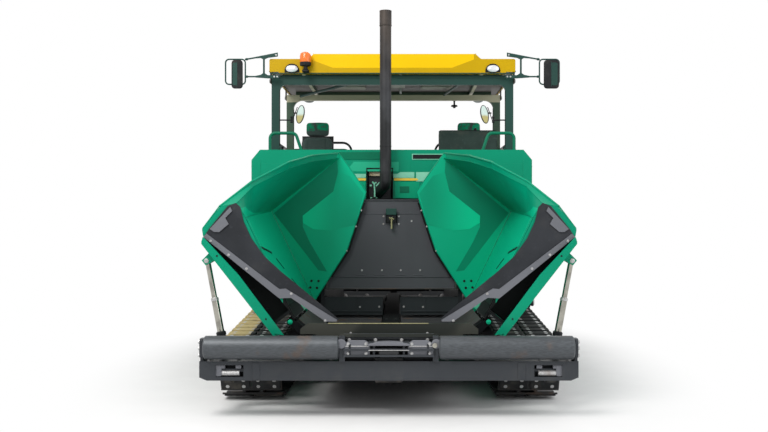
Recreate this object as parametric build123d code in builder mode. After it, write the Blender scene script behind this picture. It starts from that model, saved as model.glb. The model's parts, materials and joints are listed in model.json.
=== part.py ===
"""An asphalt paver on tracks, parked with its hopper wings folded up and its screed on the ground.

Millimetres. +X is to the right seen from the front, +Y runs from the push rollers to the screed, +Z is up.
The origin is on the ground, at the middle of the machine's length and width.
"""

from build123d import *
from math import acos, atan2, cos, degrees, hypot, radians, sin
import os

os.makedirs("parts", exist_ok=True)

# ---- driving dimensions ----
BODY_HALF = 1480.0  # half width of the hood and the deck
REAR_Y = 3400.0  # rear edge of the walkway
PLATE = 20.0  # body and frame plate
GAP = 5.0  # clearance of moving panels
FIT = 0.3  # running clearance at pins and seats

# Frame and lower body
RAIL_IN, RAIL_OUT = 680.0, 720.0  # longitudinal side plates
FRAME_FRONT, FRAME_REAR = -3050.0, 1880.0
FRAME_LOW, RAIL_TOP = 330.0, 600.0
DECK_LOW = 1130.0  # top plate over the material tunnel
HULL_HALF = 1250.0  # half width of the lower body
FLOOR_LOW, FLOOR_TOP = 470.0, 482.0  # plate under the conveyors

# Conveyors
CONVEYOR_TOP = 600.0
CONVEYOR_IN, CONVEYOR_OUT = 90.0, 605.0
SPINE_TOP = 625.0

# Tracks: (name, y, z, radius of the belt's inner face)
TRACK_IN, TRACK_OUT = 940.0, 1475.0
BELT, PAD = 45.0, 30.0
TRACK_CIRCLES = (
    ("idler", -2380.0, 285.0, 195.0),
    ("front_roller", -1950.0, 150.0, 75.0),
    ("rear_roller", 850.0, 150.0, 75.0),
    ("sprocket", 1300.0, 470.0, 275.0),
)
PAD_COUNT, PAD_LENGTH = 50, 160.0
ROLLER_PITCH, ROLLER_COUNT = 400.0, 8
CARRIER_YS, CARRIER_R = (-1100.0, 200.0), 60.0
WHEEL_IN, WHEEL_OUT = 1095.0, 1320.0
WHEEL_PLATE = 25.0

# Hopper
HINGE_X, HINGE_Z, HINGE_R = 815.0, 742.0, 18.0
WING_LEAN = 52.0  # lean of the wing's own axis above level when folded up
WING_WALL = 12.0
WALL_Y = -1250.0  # front face of the hopper's rear wall
WALL_TOP, WALL_LOW, WALL_HALF = 1795.0, 889.0, 900.0
PANEL_Y = -1300.0  # rear face of the wings' rear panels
SHELL_FRONT = -3050.0
FLANGE_FRONT = -3118.0
FLAP_THICK = 12.0
EYE_U, EYE_V, EYE_Y = 820.0, -235.0, -2985.0  # wing end of a wing cylinder
BASE_X, BASE_Z = 1330.0, 300.0  # frame end of a wing cylinder

# Push beam
BEAM_FRONT, BEAM_BACK = -3330.0, -3150.0
BEAM_LOW, BEAM_TOP, BEAM_HALF = 307.0, 460.0, 1500.0
ROLLER_Y, ROLLER_Z, ROLLER_R = -3306.0, 565.0, 94.0
ROLLER_IN, ROLLER_OUT = 396.0, 1466.0
BRACKET = 24.0
SWIVEL_Y, SWIVEL_R = -3240.0, 25.0
HITCH_HALF = 357.0

# Apron
APRON_Y, APRON_AXIS_Z, APRON_LOW, APRON_TOP = -3097.0, 622.0, 648.0, 738.0
APRON_LOW_HALF, APRON_TOP_HALF = 726.0, 665.0

# Hood and exhaust
HOOD_FRONT, HOOD_REAR = -900.0, 600.0
HOOD_LOW, HOOD_SHOULDER, HOOD_TOP, HOOD_TOP_HALF = 1600.0, 2227.0, 2335.0, 1390.0
NICHE = (-256.0, 5.0, 1815.0, 2130.0)  # x from, x to, z from, z to
NICHE_BACK = -540.0
DOOR_FRONT, DOOR_REAR, DOOR_LOW, DOOR_TOP = -750.0, 415.0, 1750.0, 2180.0
DOOR_PIN_X = BODY_HALF + 10.0
STACK_X, STACK_Y, STACK_R, STACK_TOP = -63.0, -1050.0, 59.5, 3764.0

# Platform and roof
DECK_TOP, DECK_REAR = 1650.0, 1950.0
ROOF_PIVOT_Z, ROOF_ARM = 2400.0, 800.0
PORTAL_Y, HOOP_Y = 0.0, 1400.0
POST_IN, POST_OUT, POST_DEEP = 1300.0, 1390.0, 60.0
POST_FOOT, POST_HEAD = 26.0, 35.0  # how far a post goes on past its lower and its upper pivot
CANOPY_HALF, CANOPY_FRONT, CANOPY_REAR = 1405.0, -100.0, 2000.0
SEAT_X, SEAT_Y = 966.0, 950.0

# Screed
TOW_Y, TOW_Z, TOW_R = -1250.0, 760.0, 30.0
ARM_IN, ARM_OUT = 1350.0, 1430.0
BASE_HALF, BASE_FRONT, BASE_BACK, BASE_TOP = 1275.0, 2350.0, 2850.0, 600.0
BASE_STEP = 430.0  # above this the base stands back, clear of the lift cylinders' eyes
EXT_FRONT, EXT_BACK, EXT_IN, EXT_OUT = 2870.0, 3190.0, 40.0, 1470.0
GUIDE_R, GUIDE_Z, GUIDE_YS = 45.0, 340.0, (2950.0, 3110.0)
LIFT_X, LIFT_TOP, LIFT_EYE = 1290.0, (1990.0, 1500.0), (2300.0, 560.0)
AUGER_Y, AUGER_Z, AUGER_R, AUGER_HALF = 2090.0, 420.0, 180.0, 1200.0


def block(x_span, y_span, z_span, mode=Mode.ADD):
    """A box between two limits on each axis, in the part being built."""
    spans = (x_span, y_span, z_span)
    with Locations(tuple(sum(span) / 2 for span in spans)):
        Box(*(span[1] - span[0] for span in spans), mode=mode)


def rod(start, end, radius, mode=Mode.ADD):
    """A round bar from one point to another."""
    along = Vector(*end) - Vector(*start)
    with BuildSketch(Plane(origin=start, z_dir=along)) as section:
        Circle(radius)
    extrude(section.sketch, amount=along.length, mode=mode)


def pipe(points, bend, radius):
    """A round tube along straight runs joined by arcs."""
    with BuildLine() as route:
        FilletPolyline(*points, radius=bend)
    with BuildSketch(Plane(origin=route.line @ 0, z_dir=route.line % 0)) as section:
        Circle(radius)
    sweep(section.sketch, path=route.line)


def plate_x(outline, x_from, x_to, mode=Mode.ADD):
    """A flat plate square to X, from its (y, z) outline."""
    with BuildSketch(Plane.YZ.offset(x_from)) as side_view:
        with BuildLine():
            Polyline(*outline, close=True)
        make_face()
    extrude(side_view.sketch, amount=x_to - x_from, mode=mode)


def wing_plane(y):
    """The left wing's own plane at a place along the machine: x is out along the wing, y is up from it."""
    lean = radians(WING_LEAN)
    return Plane(origin=(-HINGE_X, y, HINGE_Z), x_dir=(-cos(lean), 0, sin(lean)), z_dir=(0, 1, 0))


def wing_point(u, v):
    """World x and z of a point of the left wing's own plane."""
    place = wing_plane(0).from_local_coords(Vector(u, v, 0))
    return place.X, place.Z


def wing_plate(outline, y_from, y_to, mode=Mode.ADD):
    """A plate of the left wing square to Y, from its outline in the wing's own plane."""
    with BuildSketch(wing_plane(y_from)) as front_view:
        with BuildLine():
            Polyline(*outline, close=True)
        make_face()
    extrude(front_view.sketch, amount=y_to - y_from, mode=mode)


def mitred(points, distance):
    """The open line through the points, moved to its right by a distance, with mitred corners."""
    sides = []
    for (x0, y0), (x1, y1) in zip(points, points[1:]):
        length = hypot(x1 - x0, y1 - y0)
        sides.append(((y1 - y0) / length, (x0 - x1) / length))
    moved = []
    for index, (x, y) in enumerate(points):
        ax, ay = sides[max(index - 1, 0)]
        bx, by = sides[min(index, len(sides) - 1)]
        scale = distance / (1 + ax * bx + ay * by)
        moved.append((x + (ax + bx) * scale, y + (ay + by) * scale))
    return moved


# ---- running gear ----
def track_face(extra):
    """The side view of a track loop, this far outside the belt's inner face."""
    with BuildSketch(Plane.YZ.offset(TRACK_IN)) as face:
        for _, y, z, radius in TRACK_CIRCLES:
            with Locations((y, z)):
                Circle(radius + extra)
        make_hull()
    return face.sketch


with BuildPart() as track_right:
    extrude(track_face(BELT), amount=TRACK_OUT - TRACK_IN)
    loop_wire = track_face(BELT).faces()[0].outer_wire()
    middle_x = (TRACK_IN + TRACK_OUT) / 2
    pad_planes = []
    for index in range(PAD_COUNT):
        spot = loop_wire @ (index / PAD_COUNT)
        along = loop_wire % (index / PAD_COUNT)
        pad_planes.append(Plane(origin=(middle_x, spot.Y, spot.Z), x_dir=along, z_dir=(1, 0, 0)))
    with Locations(*pad_planes):
        Box(PAD_LENGTH, 2 * PAD, TRACK_OUT - TRACK_IN)
    extrude(track_face(0), amount=TRACK_OUT - TRACK_IN, mode=Mode.SUBTRACT)
    block((TRACK_IN - 1, TRACK_OUT + 1), (-3000, 2000), (-100, 0), mode=Mode.SUBTRACT)
with BuildPart() as track_left:
    mirror(track_right.part, about=Plane.YZ)

# The carrier rollers hang under the line that touches the idler and the sprocket from above.
IDLER, SPROCKET = TRACK_CIRCLES[0], TRACK_CIRCLES[3]
run_y, run_z = SPROCKET[1] - IDLER[1], SPROCKET[2] - IDLER[2]
lean_up = atan2(run_z, run_y) + acos((IDLER[3] - SPROCKET[3]) / hypot(run_y, run_z))
top_line = cos(lean_up) * IDLER[1] + sin(lean_up) * IDLER[2] + IDLER[3]


def carrier_z(y):
    """Height of a carrier roller's axle under the track's top run."""
    return (top_line - CARRIER_R - FIT - cos(lean_up) * y) / sin(lean_up)


WHEELS = [(IDLER[1], IDLER[2], IDLER[3] - FIT), (SPROCKET[1], SPROCKET[2], SPROCKET[3] - FIT)]
for index in range(ROLLER_COUNT):
    _, y, z, radius = TRACK_CIRCLES[1]
    WHEELS.append((y + ROLLER_PITCH * index, z, radius - FIT))
WHEELS += [(y, carrier_z(y), CARRIER_R) for y in CARRIER_YS]
AXLE_R = 32.0
with BuildPart() as track_wheels:
    for y, z, radius in WHEELS:
        rod((WHEEL_IN, y, z), (WHEEL_OUT, y, z), radius)
        rod((WHEEL_IN - WHEEL_PLATE, y, z), (WHEEL_OUT + WHEEL_PLATE, y, z), AXLE_R)
    mirror(about=Plane.YZ)

FRAME_OUTLINE = (
    (-2480, 200), (-2480, 350), (-2200, 400), (-1180, 420), (-1140, 545), (-1060, 545), (-1020, 420),
    (130, 420), (160, 640), (240, 640), (290, 470), (1000, 560), (1400, 560), (1400, 380), (1000, 130),
    (-2150, 130),
)
with BuildPart() as track_frames:
    for x_from in (WHEEL_IN - WHEEL_PLATE, WHEEL_OUT):
        plate_x(FRAME_OUTLINE, x_from, x_from + WHEEL_PLATE)
    for y, z, _ in WHEELS:
        rod((WHEEL_IN - 100, y, z), (WHEEL_OUT + 100, y, z), AXLE_R + FIT, mode=Mode.SUBTRACT)
    for y in (-2090.0, -350.0, 700.0):
        block((WHEEL_IN, WHEEL_OUT), (y - 50, y + 50), (270, 390))
    mirror(about=Plane.YZ)

# ---- frame ----
CROSS_YS = (-1700.0, 300.0)
with BuildPart() as main_frame:
    block((RAIL_IN, RAIL_OUT), (FRAME_FRONT, WALL_Y + PLATE), (FRAME_LOW, RAIL_TOP))
    block((RAIL_IN, RAIL_OUT), (WALL_Y + PLATE, FRAME_REAR), (FRAME_LOW, DECK_LOW))
    for y in CROSS_YS:
        block((RAIL_OUT, WHEEL_IN - WHEEL_PLATE), (y - 120, y + 120), (290, 400))
    block((0, RAIL_IN), (FRAME_FRONT, FRAME_REAR), (FLOOR_LOW, FLOOR_TOP))
    block((0, RAIL_IN), (FRAME_FRONT, FRAME_FRONT + 40), (FRAME_LOW, FLOOR_LOW))
    for y in (-2000.0, -600.0, 800.0):
        block((0, RAIL_IN), (y, y + 120), (FRAME_LOW, FLOOR_LOW))
    block((0, HULL_HALF), (WALL_Y + PLATE, FRAME_REAR), (DECK_LOW, DECK_LOW + PLATE))
    # outriggers that carry the tow-point cylinders
    block((HULL_HALF, 1440), (TOW_Y + 20, TOW_Y + 180), (DECK_LOW, DECK_LOW + PLATE))
    block((1345, 1435), (TOW_Y - 45, TOW_Y + 20), (DECK_LOW, DECK_LOW + PLATE))
    # carriers of the wing cylinders
    block((RAIL_OUT, BASE_X + 60), (-2900, -2860), (BASE_Z - 30, FRAME_LOW + 80))
    for y in (EYE_Y - 45, EYE_Y + 30):
        block((BASE_X - 28, BASE_X + 28), (y, y + 15), (BASE_Z - 60, BASE_Z + 26))
    block((BASE_X - 45, BASE_X + 45), (EYE_Y + 45, -2900), (BASE_Z - 60, BASE_Z + 35))
    block((BASE_X - 45, BASE_X + 45), (EYE_Y - 30, EYE_Y + 30), (BASE_Z - 60, BASE_Z - 45))
    rod((BASE_X, EYE_Y - 45, BASE_Z), (BASE_X, EYE_Y + 45, BASE_Z), 15)
    # swivel bracket of the push beam
    for z in (BEAM_LOW - 20 - FIT, BEAM_TOP + FIT):
        block((0, 110), (SWIVEL_Y - 60, FRAME_FRONT), (z, z + 20))
    block((0, 110), (FRAME_FRONT - 60, FRAME_FRONT), (BEAM_LOW - 20 - FIT, BEAM_TOP + 20 + FIT))
    # apron lugs
    block((610, 628), (APRON_Y - 12, APRON_Y + 12), (585, APRON_AXIS_Z + 12))
    block((610, RAIL_OUT), (APRON_Y - 12, FRAME_FRONT), (585, RAIL_TOP))
    mirror(about=Plane.YZ)
    rod((0, SWIVEL_Y, BEAM_LOW - 20), (0, SWIVEL_Y, BEAM_TOP + 20), SWIVEL_R)
    for side in (-1, 1):
        rod((side * 560, APRON_Y, APRON_AXIS_Z), (side * 628, APRON_Y, APRON_AXIS_Z), 8)

with BuildPart() as slat_conveyors:
    radius = (CONVEYOR_TOP - FLOOR_TOP - FIT) / 2
    middle = CONVEYOR_TOP - radius
    for inset, mode in ((0, Mode.ADD), (25, Mode.SUBTRACT)):
        with BuildSketch(Plane.YZ.offset(CONVEYOR_IN)):
            for y in (-2940.0, 1800.0):
                with Locations((y, middle)):
                    Circle(radius - inset)
            make_hull()
        extrude(amount=CONVEYOR_OUT - CONVEYOR_IN, mode=mode)
    mirror(about=Plane.YZ)

LUG_YS = (-3020.0, -2160.0, -1350.0)  # fixed knuckles of a wing hinge
WING_LUG_YS = (-2850.0, -2450.0, -1900.0, -1500.0)  # the wing's own knuckles
with BuildPart() as hopper_floor:
    block((0, CONVEYOR_IN - 10), (FRAME_FRONT + 40, FRAME_REAR), (FLOOR_TOP, SPINE_TOP))
    block((690, 710), (SHELL_FRONT + 10, PANEL_Y - 10), (RAIL_TOP, 676))
    with BuildSketch(Plane.XZ.offset(-SHELL_FRONT - 10)):
        with BuildLine():
            Polyline((612, 612), (773, 741), (765, 750), (604, 621), close=True)
        make_face()
    extrude(amount=-(PANEL_Y - SHELL_FRONT - 20))
    block((RAIL_IN, RAIL_OUT), (SHELL_FRONT + 10, PANEL_Y - 10), (RAIL_TOP, RAIL_TOP + 10))
    block((610, RAIL_IN), (SHELL_FRONT + 10, PANEL_Y - 10), (RAIL_TOP - 8, RAIL_TOP + 10))
    for y in LUG_YS:
        with BuildSketch(Plane.XZ.offset(-(y - 20))):
            with BuildLine():
                Polyline(
                    (705, 605), (705, 680), (HINGE_X - 15, HINGE_Z + 25), (HINGE_X, HINGE_Z - 30), close=True,
                )
            make_face()
            with Locations((HINGE_X, HINGE_Z)):
                Circle(30)
        extrude(amount=-40)
    rod((HINGE_X, SHELL_FRONT + 5, HINGE_Z), (HINGE_X, PANEL_Y - 25, HINGE_Z), HINGE_R)
    mirror(about=Plane.YZ)

with BuildPart() as hopper_rear_wall:
    block((-WALL_HALF, WALL_HALF), (WALL_Y, WALL_Y + PLATE), (1020, WALL_TOP))
    block((-RAIL_OUT, RAIL_OUT), (WALL_Y, WALL_Y + PLATE), (WALL_LOW, 1020))
    block((-655, 655), (WALL_Y - 40, WALL_Y), (WALL_LOW, WALL_LOW + 12))
    block((-WALL_HALF, WALL_HALF), (WALL_Y, WALL_Y + 60), (WALL_TOP - 12, WALL_TOP))
    for side in (-1, 1):
        block((side * 480 - 10, side * 480 + 10), (WALL_Y + PLATE, -1000), (DECK_LOW + PLATE, 1400))
    block((-35, 35), (WALL_Y - 40, WALL_Y), (1640, 1710))
    rod((0, WALL_Y - 25, 1500), (0, WALL_Y - 25, 1641), 9)

with BuildPart() as conveyor_gates:
    block((CONVEYOR_IN, RAIL_IN), (WALL_Y + 30, WALL_Y + 45), (624, 807))
    block((RAIL_IN - 25, RAIL_IN), (WALL_Y + 45, WALL_Y + 120), (624, 807))
    mirror(about=Plane.YZ)

# ---- hopper wings ----
# Sections of the wing's inner face: y, then (out, up) of the floor's inner edge, the lower bend,
# the wall's top and the rim's outer edge, in the wing's own plane.
WING_SECTIONS = (
    (SHELL_FRONT, ((0, 47), (900, 240), (1040, 252), (1104, 128))),
    (-2780.0, ((0, 47), (915, 246), (1100, 418), (1140, 436))),
    (-2440.0, ((0, 47), (932, 250), (1078, 722), (1119, 770))),
    (-2000.0, ((0, 47), (950, 257), (1048, 918), (1090, 955))),
    (PANEL_Y - WING_WALL, ((0, 47), (984, 266), (985, 1130), (1028, 1160))),
)
REAR_PANEL = ((0, 35), (998, 256), (998, 1122), (1028, 1160), (548, 1137), (487, 1050), (204, 624), (0, 47))
FRONT_RIB = (
    (60, 55), (900, 236), (1040, 248), (1096, 128), (1040, -95), (984, -125), (206, 54), (150, 50),
)
# front face of the lower flange
FLANGE_FACE = ((25, -168), (948, -168), (982, -122), (560, -84), (-54, -96))
FLAP = (
    (984, -125), (1012, -42), (1063, 186), (1042, 253), (994, 261), (884, 210), (737, 175), (555, 168),
    (362, 200), (125, 254), (-228, 331), (-231, 310), (-175, 236), (150, 133), (206, 54),
)
CLAMP = (
    (984, -125), (991, -89), (266, 101), (238, 144), (-225, 318), (-231, 306), (-175, 236), (150, 133),
    (206, 54),
)
CLAMP_PLATE = ((1004, -45), (962, -31), (937, 1), (941, 102), (997, 110), (1007, 190), (1043, 198))
EAR = (14.0, 40.0)  # thickness of a cylinder ear, and its distance from the cylinder's middle
EYE_X, EYE_Z = wing_point(EYE_U, EYE_V)
BARREL_R, SLEEVE_R, WING_ROD_R, ROD_EYE_R = 35.5, 29.0, 22.5, 24.0

with BuildPart() as hopper_wing_left:
    for y, chain in WING_SECTIONS:
        with BuildSketch(wing_plane(y)):
            with BuildLine():
                Polyline(*chain, *reversed(mitred(chain, WING_WALL)), close=True)
            make_face()
    loft(ruled=True)
    wing_plate(REAR_PANEL, PANEL_Y - WING_WALL, PANEL_Y)
    wing_plate(FRONT_RIB, SHELL_FRONT - WING_WALL, SHELL_FRONT)
    # lower flange with its rear web and its two end plates
    wing_plate(((-30, -168), (-30, -150), (960, -150), (948, -168)), FLANGE_FRONT, -2888)
    wing_plate(FLANGE_FACE, FLANGE_FRONT, FLANGE_FRONT + WING_WALL)
    wing_plate(((60, -160), (60, 52), (900, 232), (1040, 180), (984, -125), (950, -160)), -2900, -2888)
    wing_plate(((60, -160), (60, 56), (84, 61), (84, -160)), SHELL_FRONT - WING_WALL, -2890)
    wing_plate(((946, -160), (970, -126), (982, -126), (958, -160)), FLANGE_FRONT, -2890)
    for y in WING_LUG_YS:
        with BuildSketch(wing_plane(y - 50)):
            Circle(34)
            with Locations((26, 30)):
                Rectangle(72, 36)
        extrude(amount=100)
    rod((-HINGE_X, -3100, HINGE_Z), (-HINGE_X, -1200, HINGE_Z), HINGE_R + FIT, mode=Mode.SUBTRACT)
    # ears for the wing cylinder
    for side in (-1, 1):
        near = EYE_Y + side * EAR[1]
        ear_from, ear_to = sorted((near, near + side * EAR[0]))
        wing_plate(
            ((EYE_U - 40, -155), (EYE_U + 40, -155), (EYE_U + 26, EYE_V - 28), (EYE_U - 26, EYE_V - 28)),
            ear_from, ear_to,
        )
        # the pin's end, short of the sleeve that comes up between the ears
        rod((EYE_X, near, EYE_Z), (EYE_X, EYE_Y + side * (SLEEVE_R + 2), EYE_Z), 15)
with BuildPart() as hopper_wing_right:
    mirror(hopper_wing_left.part, about=Plane.YZ)

FLAP_Y = SHELL_FRONT - WING_WALL - FLAP_THICK
with BuildPart() as wing_flap_left:
    wing_plate(FLAP, FLAP_Y, FLAP_Y + FLAP_THICK)
with BuildPart() as wing_flap_right:
    mirror(wing_flap_left.part, about=Plane.YZ)
with BuildPart() as flap_clamp_left:
    wing_plate(CLAMP, FLAP_Y - 10, FLAP_Y)
    wing_plate(CLAMP_PLATE, FLAP_Y - 10, FLAP_Y)
with BuildPart() as flap_clamp_right:
    mirror(flap_clamp_left.part, about=Plane.YZ)

# ---- wing cylinders: barrel, sleeve and rod in one line from the frame to the wing ----
CYL_BASE = Vector(-BASE_X, EYE_Y, BASE_Z)
CYL_LINE = Vector(EYE_X, EYE_Y, EYE_Z) - CYL_BASE
CYL_ALONG = CYL_LINE.normalized()
BARREL_LENGTH, SLEEVE_LENGTH, SLEEVE_OUT = 360.0, 318.0, 286.0


def along_cylinder(distance):
    """A point on the wing cylinder's line, this far from its base pin."""
    return tuple(CYL_BASE + CYL_ALONG * distance)


with BuildPart() as wing_cylinder_barrel_left:
    rod((-BASE_X, EYE_Y - 27, BASE_Z), (-BASE_X, EYE_Y + 27, BASE_Z), 30)
    rod(along_cylinder(10), along_cylinder(46), 26)
    rod(along_cylinder(43), along_cylinder(BARREL_LENGTH), BARREL_R)
    rod((-BASE_X, EYE_Y - 50, BASE_Z), (-BASE_X, EYE_Y + 50, BASE_Z), 15 + FIT, mode=Mode.SUBTRACT)
    rod(along_cylinder(48), along_cylinder(BARREL_LENGTH + 1), SLEEVE_R + FIT, mode=Mode.SUBTRACT)
sleeve_start = BARREL_LENGTH - (SLEEVE_LENGTH - SLEEVE_OUT)
with BuildPart() as wing_cylinder_sleeve_left:
    rod(along_cylinder(sleeve_start), along_cylinder(sleeve_start + SLEEVE_LENGTH), SLEEVE_R)
    rod(
        along_cylinder(sleeve_start + 10), along_cylinder(sleeve_start + SLEEVE_LENGTH + 1),
        WING_ROD_R + FIT, mode=Mode.SUBTRACT,
    )
with BuildPart() as wing_cylinder_rod_left:
    rod_start = sleeve_start + SLEEVE_LENGTH - 25
    rod(along_cylinder(rod_start), along_cylinder(CYL_LINE.length - ROD_EYE_R + 6), WING_ROD_R)
    rod((EYE_X, EYE_Y - 20, EYE_Z), (EYE_X, EYE_Y + 20, EYE_Z), ROD_EYE_R)
    rod((EYE_X, EYE_Y - 30, EYE_Z), (EYE_X, EYE_Y + 30, EYE_Z), 15, mode=Mode.SUBTRACT)
with BuildPart() as wing_cylinder_barrel_right:
    mirror(wing_cylinder_barrel_left.part, about=Plane.YZ)
with BuildPart() as wing_cylinder_sleeve_right:
    mirror(wing_cylinder_sleeve_left.part, about=Plane.YZ)
with BuildPart() as wing_cylinder_rod_right:
    mirror(wing_cylinder_rod_left.part, about=Plane.YZ)

# ---- push beam, rollers and apron ----
with BuildPart() as push_beam:
    with BuildSketch(Plane.XZ.offset(-BEAM_BACK)):
        with BuildLine():
            Polyline(
                (0, BEAM_LOW), (BEAM_HALF - 60, BEAM_LOW), (BEAM_HALF, BEAM_LOW + 25), (BEAM_HALF, BEAM_TOP),
                (0, BEAM_TOP), close=True,
            )
        make_face()
    extrude(amount=BEAM_BACK - BEAM_FRONT)
    block((1150, 1370), (BEAM_FRONT - 1, BEAM_FRONT + 90), (335, 430), mode=Mode.SUBTRACT)
    rod((1140, BEAM_FRONT + 45, 385), (1380, BEAM_FRONT + 45, 385), 18)
    # roller brackets
    for x_from in (ROLLER_OUT + 4, ROLLER_IN - 4 - BRACKET):
        block((x_from, x_from + BRACKET), (BEAM_FRONT + 10, BEAM_BACK - 10), (BEAM_TOP, 520))
        block((x_from, x_from + BRACKET), (ROLLER_Y - 50, ROLLER_Y + 60), (500, 625))
    # hitch between the rollers
    for z_from, z_to, half in ((500, 516, 1), (548, 564, 1), (596, 612, 0.45)):
        block((0, HITCH_HALF * half), (-3375, -3200), (z_from, z_to))
    block((0, HITCH_HALF), (-3230, -3200), (BEAM_TOP + 22, 625))
    block((120, HITCH_HALF + 5), (-3230, -3170), (BEAM_TOP - 1, 500))
    for x in (110, 300):
        block((x, x + 16), (-3360, -3200), (500, 600))
    block((0, HITCH_HALF), (-3290, -3250), (640, 672))
    block((HITCH_HALF - 10, ROLLER_IN - 4), (-3350, -3200), (BEAM_TOP, 620))
    block((HITCH_HALF - 10, ROLLER_IN - 4), (-3350, -3250), (619, 660))
    mirror(about=Plane.YZ)
    rod((0, SWIVEL_Y, BEAM_LOW - 1), (0, SWIVEL_Y, BEAM_TOP + 1), SWIVEL_R + FIT, mode=Mode.SUBTRACT)
    for side in (-1, 1):
        for x_from in (ROLLER_OUT, ROLLER_IN - 4 - BRACKET - 2):
            ends = sorted((side * x_from, side * (x_from + BRACKET + 10)))
            rod((ends[0], ROLLER_Y, ROLLER_Z), (ends[1], ROLLER_Y, ROLLER_Z), 20 + FIT, mode=Mode.SUBTRACT)

with BuildPart() as push_roller_right:
    rod((ROLLER_IN, ROLLER_Y, ROLLER_Z), (ROLLER_OUT, ROLLER_Y, ROLLER_Z), ROLLER_R)
    chamfer(push_roller_right.edges().filter_by(GeomType.CIRCLE), 12)
    rod((ROLLER_IN - 18, ROLLER_Y, ROLLER_Z), (ROLLER_OUT + 26, ROLLER_Y, ROLLER_Z), 20)
with BuildPart() as push_roller_left:
    mirror(push_roller_right.part, about=Plane.YZ)

with BuildPart() as hopper_apron:
    with BuildSketch(Plane.XZ.offset(-(APRON_Y + 8))):
        with BuildLine():
            Polyline(
                (-APRON_LOW_HALF, APRON_LOW), (APRON_LOW_HALF, APRON_LOW), (APRON_LOW_HALF, 690),
                (APRON_TOP_HALF, APRON_TOP), (-APRON_TOP_HALF, APRON_TOP), (-APRON_LOW_HALF, 690), close=True,
            )
        make_face()
    extrude(amount=16)
    block((-600, 600), (APRON_Y - 8, APRON_Y + 8), (APRON_AXIS_Z, APRON_LOW + 1))
    rod((-600, APRON_Y, APRON_AXIS_Z), (600, APRON_Y, APRON_AXIS_Z), 15)
    rod((-640, APRON_Y, APRON_AXIS_Z), (640, APRON_Y, APRON_AXIS_Z), 8 + FIT, mode=Mode.SUBTRACT)

# ---- lower body, engine and hood ----
with BuildPart() as lower_body:
    block((-HULL_HALF, HULL_HALF), (HOOD_FRONT, FRAME_REAR), (DECK_LOW + PLATE, HOOD_LOW))
    block(
        (-HULL_HALF + PLATE, HULL_HALF - PLATE), (HOOD_FRONT + PLATE, FRAME_REAR - PLATE),
        (DECK_LOW, HOOD_LOW + 1), mode=Mode.SUBTRACT,
    )

with BuildPart() as engine_block:
    block((-420, 720), (-480, 320), (DECK_LOW + PLATE, 1980))
    fillet(engine_block.edges().filter_by(Axis.Z), 40)


def hood_outline(inset):
    """The hood's front view, this far inside its outer faces and open below."""
    side, shoulder = BODY_HALF - inset, HOOD_SHOULDER - inset / 3
    top, top_half = HOOD_TOP - inset, HOOD_TOP_HALF - inset / 2
    base = HOOD_LOW if inset == 0 else HOOD_LOW + PLATE
    right = ((side, base), (side, shoulder), (top_half, top))
    return (*right, *((-x, z) for x, z in reversed(right)))


with BuildPart() as engine_hood:
    for inset, y_from, y_to, mode in (
        (0, HOOD_FRONT, HOOD_REAR, Mode.ADD),
        (PLATE, HOOD_FRONT + PLATE, HOOD_REAR - PLATE, Mode.SUBTRACT),
    ):
        with BuildSketch(Plane.XZ.offset(-y_from)):
            with BuildLine():
                Polyline(*hood_outline(inset), close=True)
            make_face()
        extrude(amount=y_from - y_to, mode=mode)
    # open to the lower body
    block(
        (-HULL_HALF + PLATE, HULL_HALF - PLATE), (HOOD_FRONT + PLATE, HOOD_REAR - PLATE),
        (HOOD_LOW - 1, HOOD_LOW + PLATE + 1), mode=Mode.SUBTRACT,
    )
    # niche of the muffler
    block((NICHE[0] - 10, NICHE[1] + 10), (HOOD_FRONT + 10, NICHE_BACK), (NICHE[2] - 10, NICHE[3] + 10))
    block(NICHE[:2], (HOOD_FRONT - 1, NICHE_BACK - 10), NICHE[2:], mode=Mode.SUBTRACT)
    block((76, 192), (HOOD_FRONT - 1, HOOD_FRONT + 12), (1880, 1950), mode=Mode.SUBTRACT)
    # side doors and their pins
    for side in (-1, 1):
        walls = sorted((side * (BODY_HALF - PLATE - 1), side * (BODY_HALF + 1)))
        opening = (DOOR_FRONT - GAP, DOOR_REAR + GAP), (DOOR_LOW - GAP, DOOR_TOP + GAP)
        block(walls, *opening, mode=Mode.SUBTRACT)
        for z in (1820.0, 2090.0):
            rod((side * DOOR_PIN_X, DOOR_FRONT, z - 40), (side * DOOR_PIN_X, DOOR_FRONT, z + 40), 4)
            for low in (z - 40, z + 30):
                lug = sorted((side * (BODY_HALF - 1), side * (DOOR_PIN_X + 7)))
                block(lug, (DOOR_FRONT - 15, DOOR_FRONT + 7), (low, low + 10))

with BuildPart() as service_door_left:
    block((-BODY_HALF, -BODY_HALF + PLATE), (DOOR_FRONT, DOOR_REAR), (DOOR_LOW, DOOR_TOP))
    for z in (1820.0, 2090.0):
        recess = (DOOR_FRONT - 16, DOOR_FRONT + 8)
        block((-BODY_HALF - 1, -BODY_HALF + PLATE), recess, (z - 41, z + 41), mode=Mode.SUBTRACT)
        rod((-DOOR_PIN_X, DOOR_FRONT, z - 29.7), (-DOOR_PIN_X, DOOR_FRONT, z + 29.7), 9)
        block((-DOOR_PIN_X - 3, -DOOR_PIN_X + 3), (DOOR_FRONT, DOOR_FRONT + 60), (z - 29.7, z + 29.7))
        block((-DOOR_PIN_X + 3, -BODY_HALF), (DOOR_FRONT + 20, DOOR_FRONT + 60), (z - 29.7, z + 29.7))
        rod((-DOOR_PIN_X, DOOR_FRONT, z - 40), (-DOOR_PIN_X, DOOR_FRONT, z + 40), 4 + FIT, mode=Mode.SUBTRACT)
    block((-BODY_HALF - 8, -BODY_HALF), (DOOR_REAR - 90, DOOR_REAR - 70), (1930, 2030))
with BuildPart() as service_door_right:
    mirror(service_door_left.part, about=Plane.YZ)

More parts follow.
